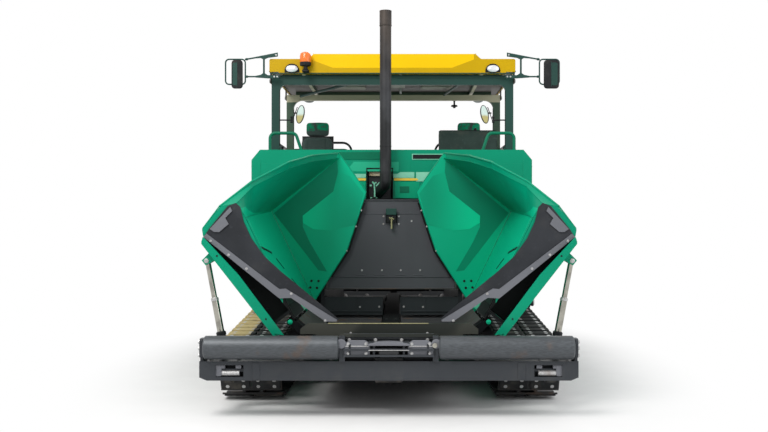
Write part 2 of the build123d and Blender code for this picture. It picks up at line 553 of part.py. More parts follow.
with BuildPart() as exhaust_stack:
    pipe(
        ((STACK_X, STACK_Y, STACK_TOP), (STACK_X, STACK_Y, 1965), (STACK_X - 75, HOOD_FRONT + 30, 1885),
         (STACK_X - 75, HOOD_FRONT + 100, 1885)),
        60, STACK_R,
    )
    rod((STACK_X, STACK_Y, STACK_TOP - 150), (STACK_X, STACK_Y, STACK_TOP), STACK_R + 3)
    mouth = (STACK_X, STACK_Y, STACK_TOP - 140), (STACK_X, STACK_Y, STACK_TOP + 1)
    rod(*mouth, STACK_R - 5, mode=Mode.SUBTRACT)
    block((NICHE[0] + 10, NICHE[1] - 15), (HOOD_FRONT + 60, NICHE_BACK - 20), (NICHE[2], 2060))

with BuildPart() as hood_handrails:
    for side in (-1, 1):
        pipe(
            ((side * 1340, -500, HOOD_TOP), (side * 1340, -500, 2550), (side * 1060, -500, 2550),
             (side * 990, -500, HOOD_TOP + 8)),
            60, 17.5,
        )
        for x in (990, 1340):
            rod((side * x, -500, HOOD_TOP), (side * x, -500, HOOD_TOP + 10), 26)

# ---- platform ----
with BuildPart() as operator_deck:
    block((-BODY_HALF, BODY_HALF), (HOOD_REAR, DECK_REAR), (HOOD_LOW, DECK_TOP))
    fillet(operator_deck.edges().filter_by(Axis.Z).group_by(Axis.Y)[-1], 60)

with BuildPart() as operator_console:
    plate_x(((540, HOOD_TOP), (540, 2560), (600, 2690), (700, 2640), (640, HOOD_TOP)), 560, 1265)

RAIL_R = 20.0
with BuildPart() as platform_railings:
    for side in (-1, 1):
        pipe(
            ((side * 1445, 700, DECK_TOP), (side * 1445, 700, 2560), (side * 1445, 1900, 2560),
             (side * 560, 1900, 2560), (side * 560, 1900, DECK_TOP)),
            120, RAIL_R,
        )
        rod((side * 1445, 1300, DECK_TOP), (side * 1445, 1300, 2560), RAIL_R)
        rod((side * 1000, 1900, DECK_TOP), (side * 1000, 1900, 2560), RAIL_R)
        rod((side * 1445, 700, 2100), (side * 1445, 1300, 2100), RAIL_R)
        rod((side * 1000, 1900, 2100), (side * 560, 1900, 2100), RAIL_R)

with BuildPart() as access_steps:
    for x in (-280, 264):
        block((x, x + 16), (FRAME_REAR, FRAME_REAR + 110), (1180, 1600))
    for z in (1180, 1400):
        block((-280, 280), (FRAME_REAR, FRAME_REAR + 110), (z, z + 20))

# ---- roof on its four-bar fold ----
PIN_R = 15.0
with BuildPart() as roof_pivots:
    for y, foot in ((PORTAL_Y, HOOD_TOP), (HOOP_Y, DECK_TOP)):
        for x_from in (POST_IN - 5 - 12, POST_OUT + GAP):
            block((x_from, x_from + 12), (y - 40, y + 40), (foot, ROOF_PIVOT_Z + 35))
        block((POST_IN - 17, POST_OUT + GAP + 12), (y - 40, y + 40), (foot, ROOF_PIVOT_Z - 45))
        rod((POST_IN - 17, y, ROOF_PIVOT_Z), (POST_OUT + GAP + 12, y, ROOF_PIVOT_Z), PIN_R)
    mirror(about=Plane.YZ)


def arch(y, crown, inner_radius):
    """Two posts and the bar over them, from the lower pivots to the upper ones, at one place in Y."""
    roof_z = ROOF_PIVOT_Z + ROOF_ARM
    with BuildSketch(Plane.XZ.offset(-(y - POST_DEEP / 2))) as front_view:
        with Locations((0, (ROOF_PIVOT_Z - POST_FOOT + roof_z + POST_HEAD) / 2)):
            Rectangle(2 * POST_OUT, POST_FOOT + ROOF_ARM + POST_HEAD)
        below, above = ROOF_PIVOT_Z - 36, roof_z - crown
        with Locations((0, (below + above) / 2)):
            RectangleRounded(2 * POST_IN, above - below, inner_radius, mode=Mode.SUBTRACT)
        # between the lower pivots the opening keeps its full width
        low, high = ROOF_PIVOT_Z - 80, below + inner_radius
        with Locations((0, (low + high) / 2)):
            Rectangle(2 * POST_IN, high - low, mode=Mode.SUBTRACT)
    extrude(front_view.sketch, amount=-POST_DEEP)
    for z in (ROOF_PIVOT_Z, roof_z):
        rod((-POST_OUT - 20, y, z), (POST_OUT + 20, y, z), PIN_R + FIT, mode=Mode.SUBTRACT)


with BuildPart() as roof_portal:
    arch(PORTAL_Y, 45, 80)
MIRROR_X, MIRROR_Z = 1058.0, 2815.0
with BuildPart() as portal_mirrors:
    with BuildSketch(Plane.XZ.offset(30)):
        with Locations((MIRROR_X, MIRROR_Z)):
            Ellipse(58, 110)
    extrude(amount=-20)
    rod((MIRROR_X, -10, MIRROR_Z + 60), (MIRROR_X, 15, MIRROR_Z + 60), 8)
    rod((MIRROR_X - 8, 8, MIRROR_Z + 60), (POST_IN, 8, MIRROR_Z + 60), 8)
    mirror(about=Plane.YZ)
with BuildPart() as roof_hoop:
    arch(HOOP_Y, 35, 110)

CANOPY_TOP = ((-1405, 3290), (-1405, 3425), (-1392, 3438), (-960, 3438), (-900, 3495), (950, 3495),
              (1010, 3438), (1392, 3438), (1405, 3425), (1405, 3290))
CANOPY_SHEET = 12.0
with BuildPart() as roof_canopy:
    for shift, y_from, y_to, mode in (
        (0, CANOPY_FRONT, CANOPY_REAR, Mode.ADD),
        (CANOPY_SHEET, CANOPY_FRONT + CANOPY_SHEET, CANOPY_REAR - CANOPY_SHEET, Mode.SUBTRACT),
    ):
        outline = CANOPY_TOP if shift == 0 else (
            (-1393, 3289), (-1393, 3426), (-955, 3426), (-895, 3483), (945, 3483), (1005, 3426), (1393, 3426),
            (1393, 3289),
        )
        with BuildSketch(Plane.XZ.offset(-y_from)):
            with BuildLine():
                Polyline(*outline, close=True)
            make_face()
        extrude(amount=y_from - y_to, mode=mode)
    for y_from in (CANOPY_FRONT, CANOPY_REAR - 40):
        block((-1300, 1300), (y_from, y_from + 40), (3267, 3300))

with BuildPart() as roof_frame:
    block((-1393, 1393), (CANOPY_FRONT + CANOPY_SHEET, CANOPY_REAR - CANOPY_SHEET), (3310, 3322))
    for side in (-1, 1):
        for y in (PORTAL_Y, HOOP_Y):
            plate = sorted((side * (POST_OUT + GAP), side * CANOPY_HALF))
            block(plate, (y - 45, y + 45), (ROOF_PIVOT_Z + ROOF_ARM - 30, 3290))
            ends = sorted((side * (POST_OUT - 40), side * CANOPY_HALF))
            rod((ends[0], y, ROOF_PIVOT_Z + ROOF_ARM), (ends[1], y, ROOF_PIVOT_Z + ROOF_ARM), PIN_R)

with BuildPart() as roof_lights:
    for side in (-1, 1):
        with BuildSketch(Plane.XZ.offset(-CANOPY_FRONT)):
            with Locations((side * 1147, 3332)):
                Ellipse(85, 52)
        extrude(amount=40)
    block((-1015, -955), (-200, CANOPY_FRONT), (3280, 3292))
    rod((-985, -165, 3292), (-985, -165, 3330), 20)
    rod((-985, -165, 3330), (-985, -165, 3400), 62)
    rod((-985, -165, 3400), (-985, -165, 3500), 65)
    fillet(roof_lights.edges().filter_by(GeomType.CIRCLE).group_by(Axis.Z)[-1], 30)

with BuildPart() as roof_mirrors:
    for side in (-1, 1):
        for z in (3235, 3405):
            span = sorted((side * CANOPY_HALF, side * 1790))
            block(span if z > 3300 else sorted((side * 1395, side * 1790)), (-112, CANOPY_FRONT), (z, z + 22))
        block(sorted((side * 1395, side * 1425)), (-112, CANOPY_FRONT), (3235, 3427))
        glass = sorted((side * 1722, side * 1902))
        block(glass, (-140, -112), (3092, 3427))

# ---- seats ----
with BuildPart() as seat_left:
    rod((-SEAT_X, SEAT_Y, DECK_TOP + FIT), (-SEAT_X, SEAT_Y, 1990), 90)
    block((-SEAT_X - 230, -SEAT_X + 230), (SEAT_Y - 230, SEAT_Y + 240), (1980, 2100))
    plate_x(
        ((SEAT_Y + 150, 2060), (SEAT_Y + 190, 2680), (SEAT_Y + 270, 2680), (SEAT_Y + 270, 2060)),
        -SEAT_X - 200, -SEAT_X + 200,
    )
    block((-SEAT_X - 145, -SEAT_X + 145), (SEAT_Y + 200, SEAT_Y + 270), (2670, 2850))
    for side in (-1, 1):
        arm = sorted((-SEAT_X + side * 200, -SEAT_X + side * 250))
        block(arm, (SEAT_Y - 120, SEAT_Y + 240), (2270, 2310))
        block(arm, (SEAT_Y + 180, SEAT_Y + 240), (2090, 2310))
with BuildPart() as seat_right:
    mirror(seat_left.part, about=Plane.YZ)

# ---- tow arms, lift cylinders and screed ----
with BuildPart() as tow_point_cylinders:
    rod((1390, TOW_Y, TOW_Z + 170), (1390, TOW_Y, DECK_LOW), 42)
    rod((1390, TOW_Y, TOW_Z + 70), (1390, TOW_Y, TOW_Z + 170), 25)
    block((1345, 1435), (TOW_Y - 45, TOW_Y + 45), (TOW_Z + 50, TOW_Z + 70))
    for x_from in (1345, 1415.3):
        block((x_from, x_from + 19.7), (TOW_Y - 45, TOW_Y + 45), (TOW_Z - 40, TOW_Z + 50))
    rod((1345, TOW_Y, TOW_Z), (1435, TOW_Y, TOW_Z), TOW_R)
    mirror(about=Plane.YZ)

ARM_OUTLINE = (
    (-1120, 690), (1500, 905), (1720, 905), (2280, 480), (2640, 480), (2640, 620), (2460, 640), (1760, 1130),
    (1500, 1130), (-1120, 840),
)
with BuildPart() as tow_arms:
    plate_x(ARM_OUTLINE, ARM_IN, ARM_OUT)
    block((1370, 1410), (TOW_Y, -1100), (TOW_Z - 40, TOW_Z + 40))
    rod((1370, TOW_Y, TOW_Z), (1410, TOW_Y, TOW_Z), 42)
    rod((1300, TOW_Y, TOW_Z), (1500, TOW_Y, TOW_Z), TOW_R + FIT, mode=Mode.SUBTRACT)
    # link to the screed, and the pin of the lift cylinder
    block((BASE_HALF, ARM_IN), (2420, 2640), (490, 600))
    rod((LIFT_X - 32, *LIFT_EYE), (ARM_IN + 10, *LIFT_EYE), 18)
    mirror(about=Plane.YZ)

with BuildPart() as screed_base:
    plate_x(
        ((BASE_FRONT + 60, 0), (BASE_FRONT, 40), (BASE_FRONT, BASE_STEP - 50), (BASE_FRONT + 60, BASE_STEP),
         (BASE_FRONT + 60, BASE_TOP - 50), (BASE_FRONT + 110, BASE_TOP),
         (BASE_BACK - 60, BASE_TOP), (BASE_BACK, BASE_TOP - 50), (BASE_BACK, 0)),
        -BASE_HALF, BASE_HALF,
    )
    for side in (-1, 1):
        ends = sorted((side * (BASE_HALF - 25), side * BASE_HALF))
        block(ends, (2420, 2640), (380, 640))
    for y in GUIDE_YS:
        rod((-1440, y, GUIDE_Z), (1440, y, GUIDE_Z), GUIDE_R)
    block((-30, 30), (BASE_BACK - 10, EXT_BACK), (GUIDE_Z - 70, GUIDE_Z + 70))

with BuildPart() as screed_extension_left:
    block((-EXT_OUT, -EXT_IN), (EXT_FRONT, EXT_BACK), (0, 230))
    block((-380, -60), (EXT_FRONT, EXT_BACK), (230, GUIDE_Z + 65))
    block((-EXT_OUT - 30, -EXT_OUT), (BASE_FRONT + 20, EXT_BACK + 60), (0, 420))
    block((-EXT_OUT, -EXT_IN), (EXT_BACK, REAR_Y), (200, 230))
    for y in GUIDE_YS:
        rod((-EXT_OUT - 40, y, GUIDE_Z), (0, y, GUIDE_Z), GUIDE_R + FIT, mode=Mode.SUBTRACT)
with BuildPart() as screed_extension_right:
    mirror(screed_extension_left.part, about=Plane.YZ)

LIFT_A, LIFT_B = Vector(LIFT_X, *LIFT_TOP), Vector(LIFT_X, *LIFT_EYE)
LIFT_ALONG = (LIFT_B - LIFT_A).normalized()
LIFT_BARREL = 520.0
with BuildPart() as lift_cylinder_barrel_right:
    rod((LIFT_X - 25, *LIFT_TOP), (LIFT_X + 25, *LIFT_TOP), 42)
    rod(tuple(LIFT_A + LIFT_ALONG * 20), tuple(LIFT_A + LIFT_ALONG * 90), 25)
    rod(tuple(LIFT_A + LIFT_ALONG * 75), tuple(LIFT_A + LIFT_ALONG * LIFT_BARREL), 45)
    rod((LIFT_X - 50, *LIFT_TOP), (LIFT_X + 50, *LIFT_TOP), 18 + FIT, mode=Mode.SUBTRACT)
    rod(tuple(LIFT_A + LIFT_ALONG * 85), tuple(LIFT_A + LIFT_ALONG * 540), 28 + FIT, mode=Mode.SUBTRACT)
with BuildPart() as lift_cylinder_rod_right:
    rod(tuple(LIFT_A + LIFT_ALONG * (LIFT_BARREL - 30)), tuple(LIFT_B - LIFT_ALONG * 40), 28)
    rod((LIFT_X - 22, *LIFT_EYE), (LIFT_X + 22, *LIFT_EYE), 48)
    rod((LIFT_X - 40, *LIFT_EYE), (LIFT_X + 70, *LIFT_EYE), 40, mode=Mode.SUBTRACT)
with BuildPart() as lift_cylinder_barrel_left:
    mirror(lift_cylinder_barrel_right.part, about=Plane.YZ)
with BuildPart() as lift_cylinder_rod_left:
    mirror(lift_cylinder_rod_right.part, about=Plane.YZ)

with BuildPart() as lift_brackets:
    for x_from in (LIFT_X - 45, LIFT_X + 30):
        block((x_from, x_from + 15), (DECK_REAR, LIFT_TOP[0] + 45), (LIFT_TOP[1] - 45, DECK_TOP - 10))
        block((x_from, x_from + 15), (FRAME_REAR + 5, DECK_REAR), (LIFT_TOP[1] - 45, HOOD_LOW))
    rod((LIFT_X - 45, *LIFT_TOP), (LIFT_X + 45, *LIFT_TOP), 18)
    mirror(about=Plane.YZ)

# ---- augers ----
with BuildPart() as auger_carrier:
    block((-45, 45), (AUGER_Y - 50, AUGER_Y + 50), (AUGER_Z - 70, 900))
    block((-60, 60), (FRAME_REAR - 40, AUGER_Y + 50), (900, 1000))
    block((-60, 60), (FRAME_REAR - 40, FRAME_REAR + 60), (900, DECK_LOW))
    block((-AUGER_HALF - 30, AUGER_HALF + 30), (AUGER_Y - 40, AUGER_Y + 40), (AUGER_Z + AUGER_R + 30, 700))
    for side in (-1, 1):
        ends = sorted((side * (AUGER_HALF + 5), side * (AUGER_HALF + 30)))
        block(ends, (AUGER_Y - 40, AUGER_Y + 40), (AUGER_Z - 50, 700))

SHAFT_R, FLIGHT_PITCH, FLIGHT = 40.0, 230.0, 16.0
with BuildPart() as auger_right:
    rod((45 + FIT, AUGER_Y, AUGER_Z), (AUGER_HALF + 5 - FIT, AUGER_Y, AUGER_Z), SHAFT_R)
    for index in range(5):
        for half in (-1, 1):
            x = 160 + FLIGHT_PITCH * (index + (0.25 if half > 0 else 0.0))
            lean = Vector(cos(radians(14)), 0, half * sin(radians(14)))
            with BuildSketch(Plane(origin=(x, AUGER_Y, AUGER_Z), x_dir=(0, 1, 0), z_dir=lean)):
                Circle(AUGER_R * 0.97)
                with Locations((0, -half * AUGER_R)):
                    Rectangle(3 * AUGER_R, 2 * AUGER_R, mode=Mode.SUBTRACT)
            extrude(amount=FLIGHT / 2, both=True)
with BuildPart() as auger_left:
    mirror(auger_right.part, about=Plane.YZ)

# ---- every piece gets its name and its file ----
PIECES = {
    "main_frame": main_frame, "slat_conveyors": slat_conveyors, "hopper_floor": hopper_floor,
    "hopper_rear_wall": hopper_rear_wall, "conveyor_gates": conveyor_gates,
    "track_left": track_left, "track_right": track_right, "track_frames": track_frames,
    "track_wheels": track_wheels,
    "lower_body": lower_body, "engine_block": engine_block, "engine_hood": engine_hood,
    "exhaust_stack": exhaust_stack, "hood_handrails": hood_handrails, "operator_deck": operator_deck,
    "operator_console": operator_console, "platform_railings": platform_railings,
    "access_steps": access_steps,
    "roof_pivots": roof_pivots, "tow_point_cylinders": tow_point_cylinders, "lift_brackets": lift_brackets,
    "auger_carrier": auger_carrier,
    "hopper_wing_left": hopper_wing_left, "hopper_wing_right": hopper_wing_right,
    "wing_flap_left": wing_flap_left, "wing_flap_right": wing_flap_right,
    "flap_clamp_left": flap_clamp_left, "flap_clamp_right": flap_clamp_right,
    "wing_cylinder_barrel_left": wing_cylinder_barrel_left,
    "wing_cylinder_barrel_right": wing_cylinder_barrel_right,
    "wing_cylinder_sleeve_left": wing_cylinder_sleeve_left,
    "wing_cylinder_sleeve_right": wing_cylinder_sleeve_right,
    "wing_cylinder_rod_left": wing_cylinder_rod_left, "wing_cylinder_rod_right": wing_cylinder_rod_right,
    "push_beam": push_beam, "push_roller_left": push_roller_left, "push_roller_right": push_roller_right,
    "hopper_apron": hopper_apron,
    "service_door_left": service_door_left, "service_door_right": service_door_right,
    "roof_portal": roof_portal, "portal_mirrors": portal_mirrors, "roof_hoop": roof_hoop,
    "roof_canopy": roof_canopy, "roof_frame": roof_frame, "roof_lights": roof_lights,
    "roof_mirrors": roof_mirrors,
    "seat_left": seat_left, "seat_right": seat_right,
    "tow_arms": tow_arms, "screed_base": screed_base,
    "screed_extension_left": screed_extension_left, "screed_extension_right": screed_extension_right,
    "lift_cylinder_barrel_left": lift_cylinder_barrel_left,
    "lift_cylinder_barrel_right": lift_cylinder_barrel_right,
    "lift_cylinder_rod_left": lift_cylinder_rod_left, "lift_cylinder_rod_right": lift_cylinder_rod_right,
    "auger_left": auger_left, "auger_right": auger_right,
}
for node_name, piece in PIECES.items():
    piece.part.label = node_name
    export_step(piece.part, f"parts/{node_name}.step")
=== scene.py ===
"""Looks of an asphalt paver on tracks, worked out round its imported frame.

Metres. +X is to the right seen from the front, +Y runs from the push rollers to the screed, +Z is up.
"""

import json
from math import cos, pi, radians, sin, tau

import bpy
import numpy as np
from bpy.props import FloatProperty, FloatVectorProperty, IntProperty, PointerProperty
from bpy.types import Operator, Panel, PropertyGroup
from mathutils import Matrix, Vector


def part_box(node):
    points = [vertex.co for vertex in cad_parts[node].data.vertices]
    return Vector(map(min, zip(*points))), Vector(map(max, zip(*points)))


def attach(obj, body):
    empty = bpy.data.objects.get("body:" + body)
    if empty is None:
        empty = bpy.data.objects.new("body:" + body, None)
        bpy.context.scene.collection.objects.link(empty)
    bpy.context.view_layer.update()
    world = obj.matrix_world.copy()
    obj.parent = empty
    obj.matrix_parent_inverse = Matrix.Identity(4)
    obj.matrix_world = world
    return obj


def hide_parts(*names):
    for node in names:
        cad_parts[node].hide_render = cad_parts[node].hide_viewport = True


bl_info = {
    "name": "Asphalt paver",
    "version": (1, 0, 0),
    "blender": (4, 5, 0),
    "location": "View3D > Sidebar > Paver",
    "description": "Finishes and details of a tracked asphalt paver",
    "category": "Object",
}

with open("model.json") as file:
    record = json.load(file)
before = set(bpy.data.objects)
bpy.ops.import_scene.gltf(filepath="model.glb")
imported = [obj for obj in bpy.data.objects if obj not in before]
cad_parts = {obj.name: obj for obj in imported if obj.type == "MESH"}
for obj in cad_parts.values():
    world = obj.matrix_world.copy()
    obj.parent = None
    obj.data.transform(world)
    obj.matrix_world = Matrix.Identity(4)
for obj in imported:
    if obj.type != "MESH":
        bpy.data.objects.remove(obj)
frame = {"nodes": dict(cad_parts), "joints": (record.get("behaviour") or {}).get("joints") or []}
BOX = {name: np.array([list(corner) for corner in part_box(name)]) for name in frame["nodes"]}
PIVOT = {joint["name"]: np.array(joint["pos_m"], float) for joint in frame["joints"] if "pos_m" in joint}
X, Y, Z = np.eye(3)
AXES = {"x": X, "y": Y, "z": Z}
SIDES = (("left", -1), ("right", 1))


# ---- shapes ----
class Shape:
    """Points and the faces that join them. Shapes add up with +."""

    def __init__(self, points, *faces):
        self.points = np.asarray(points, float).reshape(-1, 3)
        self.faces = [np.asarray(some, int) for some in faces if len(some)]

    def __add__(self, other):
        return Shape(
            np.vstack((self.points, other.points)),
            *self.faces, *(some + len(self.points) for some in other.faces),
        )

    def __radd__(self, start):
        return self

    def copies(self, points):
        """The shape's faces once for each row of points."""
        steps = np.arange(len(points))[:, None, None] * len(self.points)
        return Shape(points, *((some + steps).reshape(-1, some.shape[1]) for some in self.faces))

    def at(self, places):
        """A copy of the shape moved to each place."""
        return self.copies(self.points + np.reshape(places, (-1, 1, 3)))

    def through(self, matrices, places):
        """A copy of the shape turned by each 3 x 3 matrix and moved to its place."""
        return self.copies(np.einsum("nij,pj->npi", matrices, self.points) + places[:, None])

    def mirrored(self):
        """The shape on the other side of the machine's middle plane."""
        return Shape(self.points * (-1, 1, 1), *(some[:, ::-1] for some in self.faces))

    def outward(self):
        """The shape with its faces turned out: the sum of the tetrahedra from the middle to each face is positive."""
        middle, volume = self.points.mean(0), 0.0
        for some in self.faces:
            corner = self.points[some] - middle
            for step in range(1, some.shape[1] - 1):
                volume += np.einsum("ij,ij->", corner[:, 0], np.cross(corner[:, step], corner[:, step + 1]))
        return self if volume > 0 else Shape(self.points, *(some[:, ::-1] for some in self.faces))


def unit(vector):
    vector = np.asarray(vector, float)
    return vector / np.linalg.norm(vector)


def box(x, y, z):
    """A box between two limits on each axis: each corner takes one limit of every pair."""
    low, high = np.minimum(*np.transpose((x, y, z))), np.maximum(*np.transpose((x, y, z)))
    pick = np.array([(0, 0, 0), (1, 0, 0), (1, 1, 0), (0, 1, 0), (0, 0, 1), (1, 0, 1), (1, 1, 1), (0, 1, 1)])
    faces = [(0, 3, 2, 1), (4, 5, 6, 7), (0, 1, 5, 4), (1, 2, 6, 5), (2, 3, 7, 6), (3, 0, 4, 7)]
    return Shape(low + pick * (high - low), faces)


def loft(rings):
    """Rings of points joined one to the next, with a flat end on the first and the last."""
    count, segments = rings.shape[:2]
    end = np.arange(segments)
    here = np.arange((count - 1) * segments).reshape(-1, segments)
    following = np.roll(here, -1, axis=1)
    quads = np.stack((here, following, following + segments, here + segments), -1).reshape(-1, 4)
    return Shape(rings, quads, [end[::-1]], [end + (count - 1) * segments])


def turned(profile, start, axis, segments=24):
    """A profile of (distance along the axis, radius) carried round the axis, with flat ends."""
    along, radius = np.array(profile, float).T
    axis = unit(axis)
    side = unit(np.cross(axis, Z if abs(axis[2]) < 0.9 else X))
    turn = np.arange(segments) * tau / segments
    ring = np.cos(turn)[:, None] * side + np.sin(turn)[:, None] * np.cross(axis, side)
    return loft(np.asarray(start, float) + along[:, None, None] * axis + radius[:, None, None] * ring)


def rod(radius, low, high, start, axis, segments):
    """A plain round rod between two distances along an axis."""
    return turned([(low, radius), (high, radius)], start, axis, segments)


def cap(radius, rim, height, face, start, axis, segments):
    """A round cap: straight up to the rim, then sloping in to its flat face."""
    return turned([(0, radius), (rim, radius), (height, face)], start, axis, segments)


def bar(start, end, radius, segments=20, chamfer=0.002):
    """A round bar between two points, with a small chamfer at each end."""
    along = np.subtract(end, start)
    length, face = np.linalg.norm(along), radius - chamfer
    return turned([(0, face), (chamfer, radius), (length - chamfer, radius), (length, face)],
        start, along, segments)


def tube(path, radius, segments=10):
    """A round section carried along a path; each ring lies square to the path's direction there."""
    path = np.asarray(path, float)
    ahead = np.gradient(path, axis=0)
    ahead /= np.linalg.norm(ahead, axis=1)[:, None]
    normal = np.linalg.svd(path - path.mean(0))[2][2]
    side = normal - (ahead @ normal)[:, None] * ahead
    side /= np.linalg.norm(side, axis=1)[:, None]
    up = np.cross(ahead, side)
    turn = np.arange(segments) * tau / segments
    ring = np.cos(turn)[:, None] * side[:, None] + np.sin(turn)[:, None] * up[:, None]
    return loft(path[:, None] + radius * ring)


def arc(centre, radius, start, end, first="y", second="z", steps=16):
    """Points on a circle about a centre, from one angle to another in degrees, in the plane of two axes."""
    turn = np.radians(np.linspace(start, end, steps))[:, None]
    return np.asarray(centre, float) + radius * (np.cos(turn) * AXES[first] + np.sin(turn) * AXES[second])


def plane(across, up, through):
    """How an outline's (a, b) and a depth become a place: a runs along one vector, b along another."""
    across, up, through = (np.asarray(vector, float) for vector in (across, up, through))
    return lambda a, b, depth: a[..., None] * across + b[..., None] * up + depth[..., None] * through


FACING = {
    "x": plane(Y, Z, X),
    "y": plane(X, Z, Y),
    "z": plane(X, Y, Z),
}


def plate(outline, low, high, facing="y", origin=(0, 0, 0)):
    """A plate: its outline at two depths, joined by a band of faces."""
    place = FACING[facing] if isinstance(facing, str) else facing
    a, b = np.array(outline, float).T
    return loft(np.stack([place(a, b, np.full(len(a), depth)) for depth in (low, high)]) + origin).outward()


def rounded(width, height, radius, steps=5):
    """The outline of a rectangle with round corners about its middle."""
    turn = np.linspace(0, pi / 2, steps)
    corner = np.stack((np.cos(turn), np.sin(turn)), 1) * radius
    inner = np.array([width / 2 - radius, height / 2 - radius])
    parts = []
    for quarter in range(4):
        c, s = round(cos(quarter * pi / 2)), round(sin(quarter * pi / 2))
        sign = np.array([c - s, s + c])
        parts.append(corner @ np.array([[c, s], [-s, c]]) + inner * sign)
    return np.vstack(parts)


def sheet(points):
    """A grid of points joined by four-sided faces."""
    points = np.asarray(points, float)
    rows, columns = points.shape[:2]
    here = np.arange(rows * columns).reshape(rows, columns)
    quads = np.stack((here[:-1, :-1], here[1:, :-1], here[1:, 1:], here[:-1, 1:]), -1).reshape(-1, 4)
    return Shape(points, quads)


def grid(x, y, z):
    """A place for every combination of the given x, y and z."""
    return np.stack(np.meshgrid(x, y, z), -1).reshape(-1, 3)


def bolts(places, axis, across, height):
    """Hexagon heads on round washers, at each place, standing out along the axis."""
    head = turned([(0, across * 0.56), (height * 0.8, across * 0.56), (height, across * 0.47)], (0, 0, 0), axis, 6)
    washer = turned([(-0.002, across * 0.75), (height * 0.2, across * 0.75)], (0, 0, 0), axis, 12)
    return (head + washer).at(places)


def add(name, shape, look, body="chassis", slot=None, bevel=0.0, thick=0.0, smooth=35):
    """Puts a shape into the scene: its mesh, its finish, its edge rounding and the body it moves with."""
    mesh = bpy.data.meshes.new(name)
    sizes = np.concatenate([np.full(len(some), some.shape[1]) for some in shape.faces])
    loops = np.concatenate([some.ravel() for some in shape.faces])
    mesh.vertices.add(len(shape.points))
    mesh.vertices.foreach_set("co", shape.points.astype(np.float32).ravel())
    mesh.loops.add(len(loops))
    mesh.loops.foreach_set("vertex_index", loops.astype(np.int32))
    mesh.polygons.add(len(sizes))
    mesh.polygons.foreach_set("loop_start", (np.cumsum(sizes) - sizes).astype(np.int32))
    mesh.update(calc_edges=True)
    mesh.validate()
    mesh.shade_smooth()
    if smooth < 180:
        mesh.set_sharp_from_angle(angle=radians(smooth))
    piece = bpy.data.objects.new(name, mesh)
    bpy.context.scene.collection.objects.link(piece)
    mesh.materials.append(finish(look))
    if thick:
        wall = piece.modifiers.new("wall", "SOLIDIFY")
        wall.thickness, wall.offset = thick, 0
    if bevel:
        edges = piece.modifiers.new("edges", "BEVEL")
        edges.width, edges.segments, edges.limit_method, edges.angle_limit = bevel, 2, "ANGLE", radians(40)
    if body:
        slot = slot or SLOTS[look]
        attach(piece, body)
    return piece


# ---- finishes ----
class Wire:
    """A node's output. Sums and products of wires and numbers add Math nodes."""

    def __init__(self, socket):
        self.socket = socket

    def math(self, operation, *values, **settings):
        return node(self.socket.id_data, "Math", {"operation": operation, **settings}, dict(enumerate(values)))

    def __add__(self, other):
        return self.math("ADD", self, other)

    def __sub__(self, other):
        return self.math("SUBTRACT", self, other)

    def __rsub__(self, other):
        return self.math("SUBTRACT", other, self)

    def __mul__(self, other):
        return self.math("MULTIPLY", self, other)

    def __truediv__(self, other):
        return self.math("DIVIDE", self, other)

    def __lt__(self, other):
        return self.math("LESS_THAN", self, other)

    def __gt__(self, other):
        return self.math("GREATER_THAN", self, other)

    __radd__, __rmul__ = __add__, __mul__

    def fraction(self):
        return self.math("FRACT", self)

    def size(self):
        return self.math("ABSOLUTE", self)

    def sine(self):
        return self.math("SINE", self)

    def least(self, other):
        return self.math("MINIMUM", self, other)

    def most(self, other):
        return self.math("MAXIMUM", self, other)

    def spread(self, low, high, to_low=0.0, to_high=1.0):
        """The wire from low to high as a smooth step from to_low to to_high."""
        values = {"Value": self, "From Min": low, "From Max": high, "To Min": to_low, "To Max": to_high}
        return node(self.socket.id_data, "MapRange", {"interpolation_type": "SMOOTHSTEP"}, values)


def node(tree, kind, settings=None, inputs=None, output=0):
    """Adds a node: first its settings, then the values or links of its sockets."""
    made = tree.nodes.new("ShaderNode" + kind)
    for key, value in (settings or {}).items():
        setattr(made, key, value)
    for key, value in (inputs or {}).items():
        if isinstance(value, Wire):
            tree.links.new(value.socket, made.inputs[key])
        else:
            made.inputs[key].default_value = value
    return Wire(made.outputs[output])


def tone(red, green, blue):
    """A screen colour from 0 to 255 as a linear one."""
    return tuple(c / 12.92 if c <= 0.04045 else ((c + 0.055) / 1.055) ** 2.4
        for c in (red / 255, green / 255, blue / 255))


def times(colour, factor):
    return tuple(min(1.0, part * factor) for part in colour)


